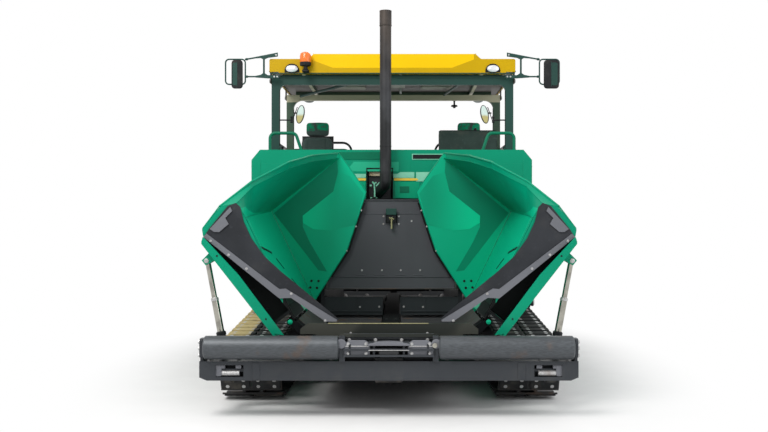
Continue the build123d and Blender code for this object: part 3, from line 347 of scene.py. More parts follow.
class Finish:
    """A material with its shader, and the patterns it is made of."""

    def __init__(self, name, metallic=0.0, roughness=0.5, **constants):
        self.material = bpy.data.materials.new(name)
        self.material.use_nodes = True
        self.tree = self.material.node_tree
        self.tree.nodes.clear()
        self.shader = self.tree.nodes.new("ShaderNodeBsdfPrincipled")
        out = self.tree.nodes.new("ShaderNodeOutputMaterial")
        self.tree.links.new(self.shader.outputs[0], out.inputs["Surface"])
        self.set("Metallic", metallic)
        self.set("Roughness", roughness)
        for key, value in constants.items():
            self.set(key.replace("_", " "), value)
        self.place = self.node("TexCoord", output="Object")

    def node(self, kind, settings=None, inputs=None, output=0):
        return node(self.tree, kind, settings, inputs, output)

    def set(self, socket, value):
        if isinstance(value, Wire):
            self.tree.links.new(value.socket, self.shader.inputs[socket])
        else:
            if isinstance(value, tuple) and len(value) == 3:
                value = (*value, 1)
            self.shader.inputs[socket].default_value = value

    def axis(self, index):
        return self.node("SeparateXYZ", {}, {0: self.place}, index)

    def noise(self, scale, detail=3.0, stretch=None):
        where = self.node("Mapping", {}, {"Vector": self.place, "Scale": stretch}) if stretch else self.place
        return self.node("TexNoise", {}, {"Vector": where, "Scale": scale, "Detail": detail})

    def cells(self, scale, feature="F1"):
        return self.node("TexVoronoi", {"feature": feature}, {"Vector": self.place, "Scale": scale})

    def mix(self, factor, first, second):
        """A colour between two, by a factor."""
        ends = {0: factor}
        for key, value in ((6, first), (7, second)):
            ends[key] = (*value, 1) if isinstance(value, tuple) else value
        return self.node("Mix", {"data_type": "RGBA"}, ends, 2)

    def over(self, mask, colour):
        """Lays a colour over the base colour where the mask is high."""
        base = self.shader.inputs["Base Color"].links[0].from_socket
        self.set("Base Color", self.mix(mask, Wire(base), colour))
        return self

    def bump(self, height, distance, strength):
        made = self.node("Bump", {}, {"Height": height, "Distance": distance, "Strength": strength})
        self.set("Normal", made)


LOOKS = {}


def look(make):
    """Keeps a finish's maker under its own name."""
    LOOKS[make.__name__] = make
    return make


def finish(name):
    """The named finish, made the first time it is asked for."""
    return bpy.data.materials.get("paver_" + name) or LOOKS[name]("paver_" + name).material


def enamel(name, colour, roughness, dust, dust_height, wear, coat=0.06):
    """Sprayed paint: slow changes of tone, orange peel, streaks, dust that gathers low down, and small chips."""
    made = Finish(name, Coat_Roughness=0.25, Specular_IOR_Level=0.12)
    slow, streak = made.noise(0.9, 2), made.noise(2.2, 5, (1.0, 1.0, 0.12))
    speck, peel = made.noise(75, 6), made.noise(240, 2)
    painted = made.mix(slow.spread(0.3, 0.7), times(colour, 0.9), times(colour, 1.08))
    painted = made.mix(streak.spread(0.56, 0.75, 0, 0.22), painted, times(colour, 0.68))
    low = (made.axis(2) + (streak - 0.5) * 0.9).spread(0.0, dust_height, 1, 0)
    dusty = low * made.noise(14, 6).spread(0.35, 0.7) * dust
    painted = made.mix(dusty, painted, tone(150, 142, 126))
    chip = speck.spread(0.735, 0.75, 0, 1) * made.noise(3, 2).spread(0.5, 0.62) * wear
    made.set("Base Color", made.mix(chip, painted, tone(70, 66, 62)))
    made.set("Roughness", (roughness + (slow - 0.5) * 0.16 + dusty * 0.5 + chip * 0.3).least(1.0))
    made.set("Coat Weight", (1 - dusty) * coat)
    made.bump(peel * 0.5 + speck * 0.35 - chip * 0.8, 0.0007, 0.5)
    return made


@look
def wing_lit(name):
    """Painted highlight for the wing's inner end plate, paler still towards its outer end."""
    made = enamel(name, tone(0, 160, 122), 0.36, 0.0, 1.0, 0.3)
    # painted highlight: paler green towards the outer end
    return made.over(made.axis(0).size().spread(0.35, 0.9, 0, 0.85), tone(0, 222, 168))


@look
def wing_green(name):
    """Hopper wing's green, with painted highlight on the floor and the inner end plate, and painted shade, near
    black, in the corner behind the flap.

    With a the distance out along the floor from the hinge and b the height over it, the floor is
    b = 0.049 + 0.2225 a.
    """
    made = enamel(name, tone(0, 142, 108), 0.36, 0.12, 0.9, 0.4)
    side, y, z = made.axis(0).size(), made.axis(1), made.axis(2)
    out = (side - 0.815) * 0.6157 + (z - 0.742) * 0.788
    over = (z - 0.742) * 0.6157 - (side - 0.815) * 0.788
    # masks: the floor and the inner end plate for painted highlight, the corner behind the flap for painted shade
    floor = ((over - out * 0.2225 - 0.049).size() < 0.014) * (out < 0.985) * (y > -3.03)
    end_plate_highlight = (y > -1.36) * (y < -1.3)
    corner = (side < 0.872) * (z > 0.7) * (z < 0.96) * (y < -2.35)
    # painted highlight on the floor and the inner end plate
    made.over(floor * 0.75, tone(0, 186, 140)).over(end_plate_highlight * 0.8, tone(0, 186, 142))
    # painted shade: near black in the corner behind the flap
    return made.over(corner, tone(14, 17, 17))


@look
def roof_yellow(name):
    """Yellow paint with a painted highlight on the raised middle: above a level line that climbs outside its ends."""
    made = enamel(name, tone(196, 158, 0), 0.36, 0.0, 0.1, 0.1)
    out = made.axis(0).size()
    # painted highlight mask: the raised middle
    raised = (made.axis(2) - (out - 0.68).most(0) * 0.38).spread(3.333, 3.34) * (out < 0.93)
    return made.over(raised, tone(240, 194, 0))


@look
def hoop_paint(name):
    """Grey green, with a painted highlight on the cross bar."""
    made = enamel(name, tone(78, 100, 84), 0.45, 0.0, 0.1, 0.4)
    # painted highlight on the cross bar
    cross_bar_highlight = (made.axis(2) > 3.14) * (made.axis(2) < 3.27)
    return made.over(cross_bar_highlight * 0.8, tone(206, 200, 172))


@look
def apron_paint(name):
    """Dark olive plate with slanted bands of painted reflection."""
    made = enamel(name, tone(44, 47, 44), 0.42, 0.0, 0.1, 0.4)
    # painted reflection: slanted lighter bands
    reflection_bands = (made.axis(0) * 5 - made.axis(2) * 4 + made.noise(3, 2) * 1.2).sine() * 0.5 + 0.5
    return made.over(reflection_bands.spread(0.55, 0.8, 0, 0.35), tone(88, 88, 80))


def worn_steel(name, colour, roughness, grain, metallic):
    """Bare steel: fine lines along one direction, brown stains and rubbed spots."""
    made = Finish(name, metallic)
    lines, stain, pit = made.noise(160, 4, grain), made.noise(5, 6), made.noise(90, 3)
    bright = made.mix(lines.spread(0.3, 0.7), times(colour, 0.75), times(colour, 1.15))
    rusty = stain.spread(0.56, 0.72, 0, 0.5)
    made.set("Base Color", made.mix(rusty, bright, tone(104, 78, 58)))
    made.set("Roughness", roughness + lines * 0.16 + rusty * 0.35)
    made.set("Metallic", (1 - rusty) * metallic)
    made.bump(lines * 0.5 + pit * 0.6, 0.0006, 0.5)
    return made


@look
def chrome(name):
    """Hard chrome on a rod: faint rings and a little oil."""
    made = Finish(name, 1.0)
    rings, film = made.noise(300, 2, (0.3, 0.3, 1)), made.noise(12, 4)
    made.set("Base Color", made.mix(film.spread(0.4, 0.7), tone(172, 170, 160), tone(146, 144, 136)))
    made.set("Roughness", 0.09 + rings * 0.07 + film * 0.08)
    made.bump(rings, 0.0002, 0.3)
    return made


def moulded(name, colour, roughness, grain, dust):
    """Rubber or plastic from a mould: a fine grain, faint scuffs and some dust."""
    made = Finish(name, 0.0, Specular_IOR_Level=0.15)
    fine, slow, scuff = made.noise(grain, 3), made.noise(3, 4), made.noise(28, 8, (1, 0.3, 1))
    base = made.mix(slow.spread(0.3, 0.7), times(colour, 0.8), times(colour, 1.2))
    base = made.mix(scuff.spread(0.58, 0.72, 0, 0.35), base, times(colour, 1.9))
    dusty = made.noise(7, 7).spread(0.5, 0.75) * dust
    made.set("Base Color", made.mix(dusty, base, tone(150, 142, 128)))
    made.set("Roughness", (roughness + (scuff - 0.5) * 0.2 + dusty * 0.4).least(1.0))
    made.bump(fine + scuff * 0.4, 0.0008, 0.5)
    return made


@look
def pad_rubber(name):
    """Track rubber, with tan dust on the left track's upper run."""
    made = moulded(name, tone(42, 43, 44), 0.75, 120, 0.2)
    upper_run = (made.axis(2) > 0.5) * (made.axis(0) < -1.26)
    return made.over(upper_run * made.noise(11, 5).spread(0.3, 0.5, 0.55, 0.95), tone(196, 176, 128))


@look
def stack_metal(name):
    """Heat-stained black coating that turns brown and grey towards the top."""
    made = Finish(name, 0.4, Specular_IOR_Level=0.4)
    cloud, streak, fine = made.noise(4, 6), made.noise(14, 5, (1, 1, 0.1)), made.noise(260, 3)
    hot = (made.axis(2) + cloud * 0.6).spread(3.2, 4.1, 0, 0.4)
    dark = made.mix(cloud.spread(0.35, 0.7), tone(30, 31, 33), tone(56, 57, 60))
    made.set("Base Color", made.mix(hot * streak.spread(0.3, 0.7), dark, tone(108, 92, 78)))
    made.set("Roughness", 0.38 + cloud * 0.2 + hot * 0.2)
    made.bump(fine + streak * 0.4, 0.0006, 0.4)
    return made


@look
def deck_plate(name):
    """Chequer plate: short raised bars in rows, leaning left and right by turns."""
    made = Finish(name, 0.55)
    x, y = made.axis(0) / 0.046, made.axis(1) / 0.046
    first, second = (x + y), (x - y)
    along, across = (first.fraction() - 0.5).size(), (second.fraction() - 0.5).size()
    odd = ((first - first.fraction() + second - second.fraction()) / 2).fraction().size() > 0.25
    one = (along / 0.42).math("POWER", along / 0.42, 2.0) + (across / 0.13).math("POWER", across / 0.13, 2.0)
    two = (along / 0.13).math("POWER", along / 0.13, 2.0) + (across / 0.42).math("POWER", across / 0.42, 2.0)
    raised = (one * odd + two * (1 - odd)).spread(0.7, 1.1, 1, 0)
    stain, fine = made.noise(4, 6), made.noise(180, 3)
    base = made.mix(raised, tone(70, 72, 74), tone(128, 129, 130))
    made.set("Base Color", made.mix(stain.spread(0.5, 0.7, 0, 0.5), base, tone(86, 78, 68)))
    made.set("Roughness", 0.52 - raised * 0.18 + stain * 0.15)
    made.bump(raised + fine * 0.12, 0.002, 0.8)
    return made


@look
def grille_black(name):
    """Punched sheet: rows of round holes, the odd rows shifted by half a hole."""
    made = Finish(name, 0.3)
    across = made.axis(0) + made.axis(1)
    row = made.axis(2) / 0.011
    shift = ((row - row.fraction()) / 2).fraction()
    a, b = (across / 0.0127 + shift).fraction() - 0.5, row.fraction() - 0.5
    hole = (a * a + b * b).spread(0.09, 0.12, 1, 0)
    made.set("Base Color", made.mix(hole, tone(52, 54, 56), tone(8, 8, 9)))
    made.set("Roughness", 0.45 + hole * 0.4 + made.noise(9, 5) * 0.12)
    made.bump(1 - hole, 0.002, 0.8)
    return made


@look
def lamp_lens(name):
    """Ribbed clear cover over a bright reflector."""
    made = Finish(name, 0.0, 0.08, Coat_Weight=1.0, Coat_Roughness=0.04)
    ribs = (made.axis(0) / 0.012).fraction() - 0.5
    rows = (made.axis(2) / 0.012).fraction() - 0.5
    pattern = (ribs * ribs + rows * rows) * 2
    made.set("Base Color", made.mix(pattern.spread(0.1, 0.8), tone(240, 242, 244), tone(176, 182, 188)))
    made.set("Metallic", 0.25)
    made.bump(pattern, 0.0015, 0.6)
    return made


@look
def beacon_amber(name):
    made = Finish(name, 0.0, 0.15, Coat_Weight=0.4, Coat_Roughness=0.05)
    turn = (made.axis(2) / 0.008).fraction() - 0.5
    made.set("Base Color", made.mix((turn * turn * 4).spread(0.2, 0.9), tone(236, 104, 14), tone(255, 146, 40)))
    made.set("Roughness", 0.12 + made.noise(30, 3) * 0.1)
    made.bump(turn * turn, 0.002, 0.6)
    return made


@look
def mirror_glass(name):
    made = Finish(name, 1.0)
    film = made.noise(6, 5)
    made.set("Base Color", made.mix(film.spread(0.4, 0.7), tone(186, 192, 196), tone(158, 164, 168)))
    made.set("Roughness", 0.03 + film.spread(0.4, 0.8) * 0.1)
    return made


@look
def inner_glass(name):
    """Bright glass with a painted reflection, tan, over its lower half."""
    made = Finish(name, 0.35, 0.12, Coat_Weight=0.6)
    film = made.noise(14, 5)
    # painted reflection: tan over the lower half
    low = (made.axis(2) + film * 0.03).spread(2.8, 2.84, 1, 0)
    made.set("Base Color", made.mix(low, tone(214, 232, 226), tone(190, 178, 116)))
    made.set("Roughness", 0.1 + film.spread(0.4, 0.8) * 0.15)
    return made


@look
def pale_strip(name):
    """Frosted pale strip with a fine grain."""
    made = Finish(name, 0.1)
    fine, slow = made.noise(400, 3), made.noise(8, 3)
    made.set("Base Color", made.mix(slow.spread(0.3, 0.7), tone(132, 206, 176), tone(112, 190, 160)))
    made.set("Roughness", 0.4 + fine * 0.15)
    made.bump(fine, 0.0003, 0.4)
    return made


@look
def heat_cover(name):
    """Pressed beige heat cover of the muffler, stained brown in patches."""
    made = Finish(name, 0.15)
    cloud, dots = made.noise(9, 6), made.cells(90)
    made.set("Base Color", made.mix(cloud.spread(0.35, 0.65), tone(206, 196, 168), tone(160, 144, 112)))
    made.set("Roughness", 0.5 + cloud * 0.2)
    made.bump(dots, 0.002, 0.5)
    return made


@look
def seat_cloth(name):
    """Woven seat cloth: two sets of threads that pass over and under each other."""
    made = Finish(name, 0.0, Sheen_Weight=0.3, Sheen_Roughness=0.5, Specular_IOR_Level=0.25)
    x, y, z = (made.axis(index) for index in range(3))
    warp, weft = ((x * 1500).sine() + 1) * 0.5, (((y + z) * 1500).sine() + 1) * 0.5
    weave, fade = warp.most(weft), made.noise(7, 4)
    base = made.mix(weave, tone(40, 54, 52), tone(78, 95, 91))
    base = made.mix(fade.spread(0.45, 0.75, 0, 0.5), base, tone(66, 78, 74))
    # green panels high on the headrest, parted by a dark slanted band
    band = ((x.size() - 0.99 - (z - 2.78) * 0.25).size() > 0.018) * (z
        + made.noise(26, 4) * 0.06 - 0.03).spread(2.735, 2.765)
    patch = band * made.noise(34, 3).spread(0.4, 0.5, 0.25, 1)
    made.set("Base Color", made.mix(patch, base, tone(0, 158, 114)))
    made.set("Roughness", 0.78 + fade * 0.15)
    made.bump(weave + made.noise(600, 2) * 0.5, 0.0012, 0.6)
    return made


@look
def seat_vinyl(name):
    """Grained vinyl of the seat's sides."""
    made = Finish(name, 0.0, Specular_IOR_Level=0.4)
    pores, slow = made.cells(420, "DISTANCE_TO_EDGE"), made.noise(6, 4)
    made.set("Base Color", made.mix(slow.spread(0.3, 0.7), tone(24, 26, 27), tone(44, 46, 48)))
    made.set("Roughness", 0.45 + slow * 0.15)
    made.bump(pores.spread(0.0, 0.25), 0.0008, 0.6)
    return made


@look
def screen_glass(name):
    """Dark screen with a plain pattern of pale blocks."""
    made = Finish(name, 0.0, 0.1, Coat_Weight=1.0)
    a, b = (made.axis(0) / 0.05).fraction(), (made.axis(2) / 0.034).fraction()
    blocks = (a > 0.2) * (b > 0.3)
    made.set("Base Color", made.mix(blocks, tone(18, 24, 28), tone(70, 104, 118)))
    made.set("Roughness", 0.1 + made.noise(20, 3) * 0.08)
    return made


# Sprayed paints: colour, roughness, dust, height that the dust reaches, wear and clear coat.
PAINTS = {
    "green_enamel": ((0, 142, 108), 0.36, 0.15, 0.9, 0.4),
    "green_wing": ((0, 136, 104), 0.38, 0.1, 1.0, 0.5),
    "wall_paint": ((80, 81, 86), 0.44, 0.15, 1.0, 0.4, 0.03),
    "chassis_paint": ((40, 42, 45), 0.48, 0.3, 0.5, 0.6, 0.03),
    "beam_paint": ((58, 61, 65), 0.4, 0.05, 0.5, 0.5, 0.06),
    "post_paint": ((40, 70, 64), 0.4, 0.0, 0.1, 0.4),
    "ceiling_paint": ((84, 80, 74), 0.5, 0.0, 0.1, 0.3),
    "floor_black": ((14, 16, 18), 0.85, 0.0, 0.1, 0.5, 0.0),
    "gate_paint": ((50, 54, 57), 0.45, 0.0, 0.1, 0.4),
    "bright_green": ((0, 162, 120), 0.4, 0.0, 0.1, 0.2),
    "band_green": ((0, 112, 82), 0.4, 0.0, 0.1, 0.2),
    "pale_green": ((40, 176, 136), 0.4, 0.0, 0.1, 0.2),
    "rail_paint": ((14, 112, 84), 0.35, 0.0, 0.1, 0.4),
    "dark_rail_paint": ((38, 44, 46), 0.38, 0.0, 0.1, 0.4),
    "black_paint": ((26, 28, 30), 0.42, 0.15, 0.5, 0.4, 0.05),
    "cavity_black": ((16, 20, 20), 0.6, 0.0, 1.0, 0.3, 0.0),
    "clamp_paint": ((108, 110, 116), 0.44, 0.0, 1.0, 0.0, 0.05),
    "stripe_yellow": ((238, 204, 84), 0.4, 0.0, 0.1, 0.1),
}
# Steels: colour, roughness, direction of the grain and metal.
STEELS = {
    "rubbed_edge": ((166, 162, 120), 0.45, (0.1, 1, 1), 0.1),
    "roller_steel": ((78, 82, 86), 0.36, (0.15, 1, 1), 0.4),
    "slat_steel": ((72, 71, 70), 0.42, (0.1, 1, 1), 0.6),
    "shoe_steel": ((60, 60, 60), 0.5, (1, 1, 1), 0.5),
    "bolt_steel": ((184, 184, 184), 0.36, (1, 1, 1), 0.6),
    "screed_plate": ((120, 118, 114), 0.32, (1, 0.1, 1), 0.85),
    "wheel_steel": ((46, 47, 49), 0.5, (1, 1, 1), 0.4),
    "cast_iron": ((92, 94, 92), 0.6, (1, 1, 1), 0.35),
}
# Moulded rubber and plastic: colour, roughness, fineness of the grain and dust.
MOULDED = {
    "flap_rubber": ((48, 50, 54), 0.8, 180, 0.03),
    "black_plastic": ((32, 33, 35), 0.5, 420, 0.1),
    "console_plastic": ((50, 64, 60), 0.5, 420, 0.1),
    "grey_plastic": ((150, 148, 138), 0.5, 380, 0.1),
    "hose_rubber": ((28, 28, 30), 0.5, 500, 0.2),
    "red_plastic": ((190, 24, 20), 0.35, 300, 0.05),
}


def plain(kind, table):
    """Keeps a maker for each finish that needs only a row of a table."""
    for title, (colour, *values) in table.items():
        LOOKS[title] = lambda name, colour=colour, values=values: kind(name, tone(*colour), *values)


plain(enamel, PAINTS)
plain(worn_steel, STEELS)
plain(moulded, MOULDED)
# The slot that each finish stands for, unless a piece names another.
SLOTS = {look: slot for slot, looks in {
    "bare_steel": "bolt_steel rubbed_edge slat_steel deck_plate screed_plate shoe_steel roller_steel wheel_steel",
    "painted_dark": (
        "black_paint black_plastic post_paint beam_paint chassis_paint wall_paint cavity_black "
        "dark_rail_paint grille_black clamp_paint gate_paint apron_paint hoop_paint"
    ),
    "painted_green": "green_enamel green_wing wing_lit wing_green bright_green band_green pale_green rail_paint",
    "painted_yellow": "roof_yellow stripe_yellow",
    "lamp_plastic": "lamp_lens grey_plastic red_plastic pale_strip screen_glass beacon_amber",
    "rod_chrome": "chrome mirror_glass inner_glass",
    "exhaust_black": "stack_metal heat_cover",
    "track_rubber": "pad_rubber",
    "flap_rubber": "hose_rubber",
    "seat_fabric": "seat_vinyl",
}.items() for look in looks.split()}

# The nodes that each finish is for; {} stands for left and right.
NODE_LOOKS = {
    "green_enamel": "engine_hood service_door_{}",
    "wing_green": "hopper_wing_{}",
    "chassis_paint": (
        "main_frame lower_body track_frames auger_carrier "
        "lift_brackets access_steps tow_arms tow_point_cylinders"
    ),
    "floor_black": "hopper_floor",
    "gate_paint": "conveyor_gates",
    "apron_paint": "hopper_apron",
    "wall_paint": "hopper_rear_wall",
    "beam_paint": "push_beam screed_base",
    "roller_steel": "push_roller_{}",
    "flap_rubber": "wing_flap_{}",
    "clamp_paint": "flap_clamp_{}",
    "chrome": "wing_cylinder_sleeve_{} wing_cylinder_rod_{} lift_cylinder_rod_{}",
    "black_paint": "wing_cylinder_barrel_{} lift_cylinder_barrel_{} screed_extension_{} roof_mirrors",
    "wheel_steel": "track_wheels",
    "pad_rubber": "track_{}",
    "slat_steel": "slat_conveyors auger_{}",
    "cast_iron": "engine_block",
    "stack_metal": "exhaust_stack",
    "rail_paint": "hood_handrails",
    "dark_rail_paint": "platform_railings",
    "deck_plate": "operator_deck",
    "console_plastic": "operator_console",
    "black_plastic": "portal_mirrors roof_lights",
    "post_paint": "roof_pivots roof_portal",
    "hoop_paint": "roof_hoop",
    "ceiling_paint": "roof_frame",
    "roof_yellow": "roof_canopy",
    "seat_vinyl": "seat_{}",
}


# ---- settings ----
class PaverSizes(PropertyGroup):
    """Sizes of the small parts."""

    bolt: FloatProperty(name="Bolt head", description="Width across flats", default=0.03, unit="LENGTH")
    weld: FloatProperty(name="Rolled edge", description="Radius of the wings' rolled rim",
        default=0.009, unit="LENGTH")
    shoes: IntProperty(name="Track shoes", description="Shoes on each track", default=50, min=30, max=80)
    slat_gap: FloatProperty(name="Slat spacing", description="Distance between conveyor bars",
        default=0.15, unit="LENGTH")
    auger_pitch: FloatProperty(name="Auger pitch", description="Length of one turn", default=0.3, unit="LENGTH")
    cushion_voxel: FloatProperty(name="Cushion mesh", description="Mesh size of the cushions",
        default=0.009, unit="LENGTH")


class PaverLight(PropertyGroup):
    """Light and floor of the stage."""

    key: FloatProperty(name="Key light", description="Power of the large lamp", default=520.0, unit="POWER")
    fill: FloatProperty(name="Fill light", description="Power of the side lamps", default=170.0, unit="POWER")
    sky: FloatProperty(name="Sky", description="Strength of the even light", default=0.62)
    floor: FloatVectorProperty(name="Floor", description="Floor colour",
        default=(0.86, 0.86, 0.86), subtype="COLOR")


def both(shape):
    """The shape and its mirror image."""
    return shape + shape.mirrored()


def pair(name, shape, look, body, **settings):
    """The left-hand piece as given and the right-hand one mirrored, each on its own body."""
    for side, turn in SIDES:
        made = shape if turn < 0 else shape.mirrored()
        add(f"{name}_{side}", made, look, body.format(side), **settings)


def join(shapes):
    return sum(shapes, Shape(np.zeros((0, 3))))


# ---- running gear ----
# The circles that each track's chain runs round: y, z and radius.
WHEELS = np.array([(-2.38, 0.285, 0.195), (-1.95, 0.15, 0.075), (0.85, 0.15, 0.075), (1.3, 0.47, 0.275)])


def loop_frames(circles, count, shift=0.0):
    """Places and turns evenly spaced on the line stretched round some circles of (y, z, radius).

    In each direction the line touches the circle that reaches furthest; a turn's columns are across, ahead and out.
    """
    turn = np.linspace(0, tau, 6001)
    out = np.stack((np.cos(turn), np.sin(turn)), 1)
    furthest = (out @ circles[:, :2].T + circles[:, 2]).argmax(1)
    line = circles[furthest, :2] + out * circles[furthest, 2:]
    travelled = np.concatenate(([0], np.cumsum(np.linalg.norm(np.diff(line, axis=0), axis=1))))
    stations = (np.arange(count) + shift) / count * travelled[-1]

    def at(distance):
        distance = distance % travelled[-1]
        return np.stack([np.interp(distance, travelled, line[:, k]) for k in (0, 1)], 1)

    ahead = at(stations + 0.02) - at(stations - 0.02)
    ahead /= np.linalg.norm(ahead, axis=1)[:, None]
    spots, zeros = at(stations), np.zeros(count)
    places = np.stack((zeros, spots[:, 0], spots[:, 1]), 1)
    across = np.tile(X, (count, 1))
    forward = np.stack((zeros, ahead[:, 0], ahead[:, 1]), 1)
    outward = np.stack((zeros, ahead[:, 1], -ahead[:, 0]), 1)
    return np.stack((across, forward, outward), 2), places, travelled[-1]


class PAVER_OT_tracks(Operator):
    """Tracks of steel shoes with bolted rubber pads on two rows of links, with drive and idler covers"""

    bl_idname = "paver.tracks"
    bl_label = "Tracks"

    def execute(self, context):
        count = context.scene.paver_sizes.shoes
        for side, turn in SIDES:
            low, high = BOX[f"track_{side}"]
            middle, half = (low[0] + high[0]) / 2, (high[0] - low[0]) / 2 - 0.001
            turns, places, length = loop_frames(WHEELS, count, 0.5)
            places = places + (middle, 0, 0)
            pitch = length / count
            # heights are out from the chain's line
            shoe = box((-half, half), (-pitch * 0.47, pitch * 0.47), (0.045, 0.056))
            for y in (-pitch * 0.44, pitch * 0.44):
                shoe += box((-half, half), (y - 0.006, y + 0.006), (0.055, 0.062))
            made = add(f"track_shoes_{side}", shoe.through(turns, places), "shoe_steel", bevel=0.003)
            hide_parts(f"track_{side}")
            pads = join(plate(rounded(half - 0.022, 0.122, 0.014, 3), 0.056, 0.0742, "z", (x, 0, 0))
                for x in (-half / 2, half / 2))
            add(f"track_pads_{side}", pads.through(turns, places), "pad_rubber", bevel=0.004)
            spots = [(x + dx, dy, 0.0735) for x in (-half / 2, half / 2)
                for dx in (-0.07, 0.07) for dy in (-0.033, 0.033)]
            heads = turned([(-0.004, 0.017), (0.0008, 0.017), (0.001, 0.009)], (0, 0, 0), Z, 8).at(spots)
            add(f"track_pad_bolts_{side}", heads.through(turns, places), "bolt_steel")
            chain = join(
                plate([(-pitch * 0.54, 0.002), (pitch * 0.3, 0.002), (pitch * 0.54, 0.02), (pitch * 0.54, 0.045),
                       (-pitch * 0.54, 0.045)], x - 0.014, x + 0.014, "x") for x in (-0.075, 0.075)
            ) + rod(0.012, 0, 0.2, (-0.1, pitch * 0.42, 0.022), X, 10)
            add(f"track_links_{side}", chain.through(turns, places), "wheel_steel", slot="painted_dark")
            wheel_x = middle + turn * 0.1385
            covers = join(
                turned([(0, r * 0.62), (0.008, r * 0.62), (0.014, r * 0.5), (0.02, r * 0.2), (0.03, r * 0.18)],
                       (wheel_x, y, z), (turn, 0, 0), 32)
                for y, z, r in WHEELS[[0, -1]])
            add(f"wheel_covers_{side}", covers, "chassis_paint")
            rings = [
                (wheel_x + turn * 0.008, y + 0.56 * r * cos(a), z + 0.56 * r * sin(a))
                for y, z, r in WHEELS[[0, -1]] for a in np.arange(12) * tau / 12
            ]
            add(f"wheel_cover_bolts_{side}", bolts(rings, (turn, 0, 0), 0.018, 0.01), "bolt_steel")
        return {"FINISHED"}


class PAVER_OT_conveyors(Operator):
    """Slat conveyors: bars across two chains that run round under the hopper floor"""

    bl_idname = "paver.conveyors"
    bl_label = "Slat conveyors"

    def execute(self, context):
        low, high = BOX["slat_conveyors"]
        radius = (high[2] - low[2]) / 2
        circles = np.array([(y, low[2] + radius, radius - 0.03) for y in (low[1] + radius, high[1] - radius)])
        inner = 0.09
        middle, half = (inner + high[0]) / 2, (high[0] - inner) / 2 - 0.004
        count = int(round(2 * (high[1] - low[1]) / context.scene.paver_sizes.slat_gap))
        turns, places, _ = loop_frames(circles, count)
        slat = plate([(-0.026, 0.006), (0.026, 0.006), (0.018, 0.03), (-0.018, 0.03)], -half, half, "x")
        made = add("conveyor_slats", both(slat.through(turns, places + (middle, 0, 0))), "wheel_steel", bevel=0.002)
        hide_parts("slat_conveyors")
        turns, places, length = loop_frames(circles, count * 2)
        link = join(
            plate(rounded(length / count * 0.62, 0.03, 0.012, 3), x - 0.005, x + 0.005, "x")
            for x in (-half + 0.05, -half + 0.085, half - 0.05, half - 0.085)
        )
        add("conveyor_chains", both(link.through(turns, places + (middle, 0, 0))), "wheel_steel")
        spots = grid((-0.045, 0.045), np.arange(-2.9, -1.3, 0.4), 0.625)
        add("conveyor_spine_bolts", bolts(spots, Z, 0.02, 0.008), "wheel_steel")
        low, high = BOX["conveyor_gates"]
        face, tall = low[1], (low[2], high[2])
        ribs = box((0.088, 0.1), (face - 0.008, face), tall) + box((0.34, 0.352), (face - 0.005, face), tall)
        ribs = both(ribs + box((0.095, 0.675), (face - 0.01, face), (0.655, 0.668)))
        add("gate_ribs", ribs, "gate_paint", bevel=0.002)
        add("gate_bolts", both(bolts([(0.125, face, 0.706), (0.322, face, 0.704)], -Y, 0.014, 0.008)), "bolt_steel")
        return {"FINISHED"}


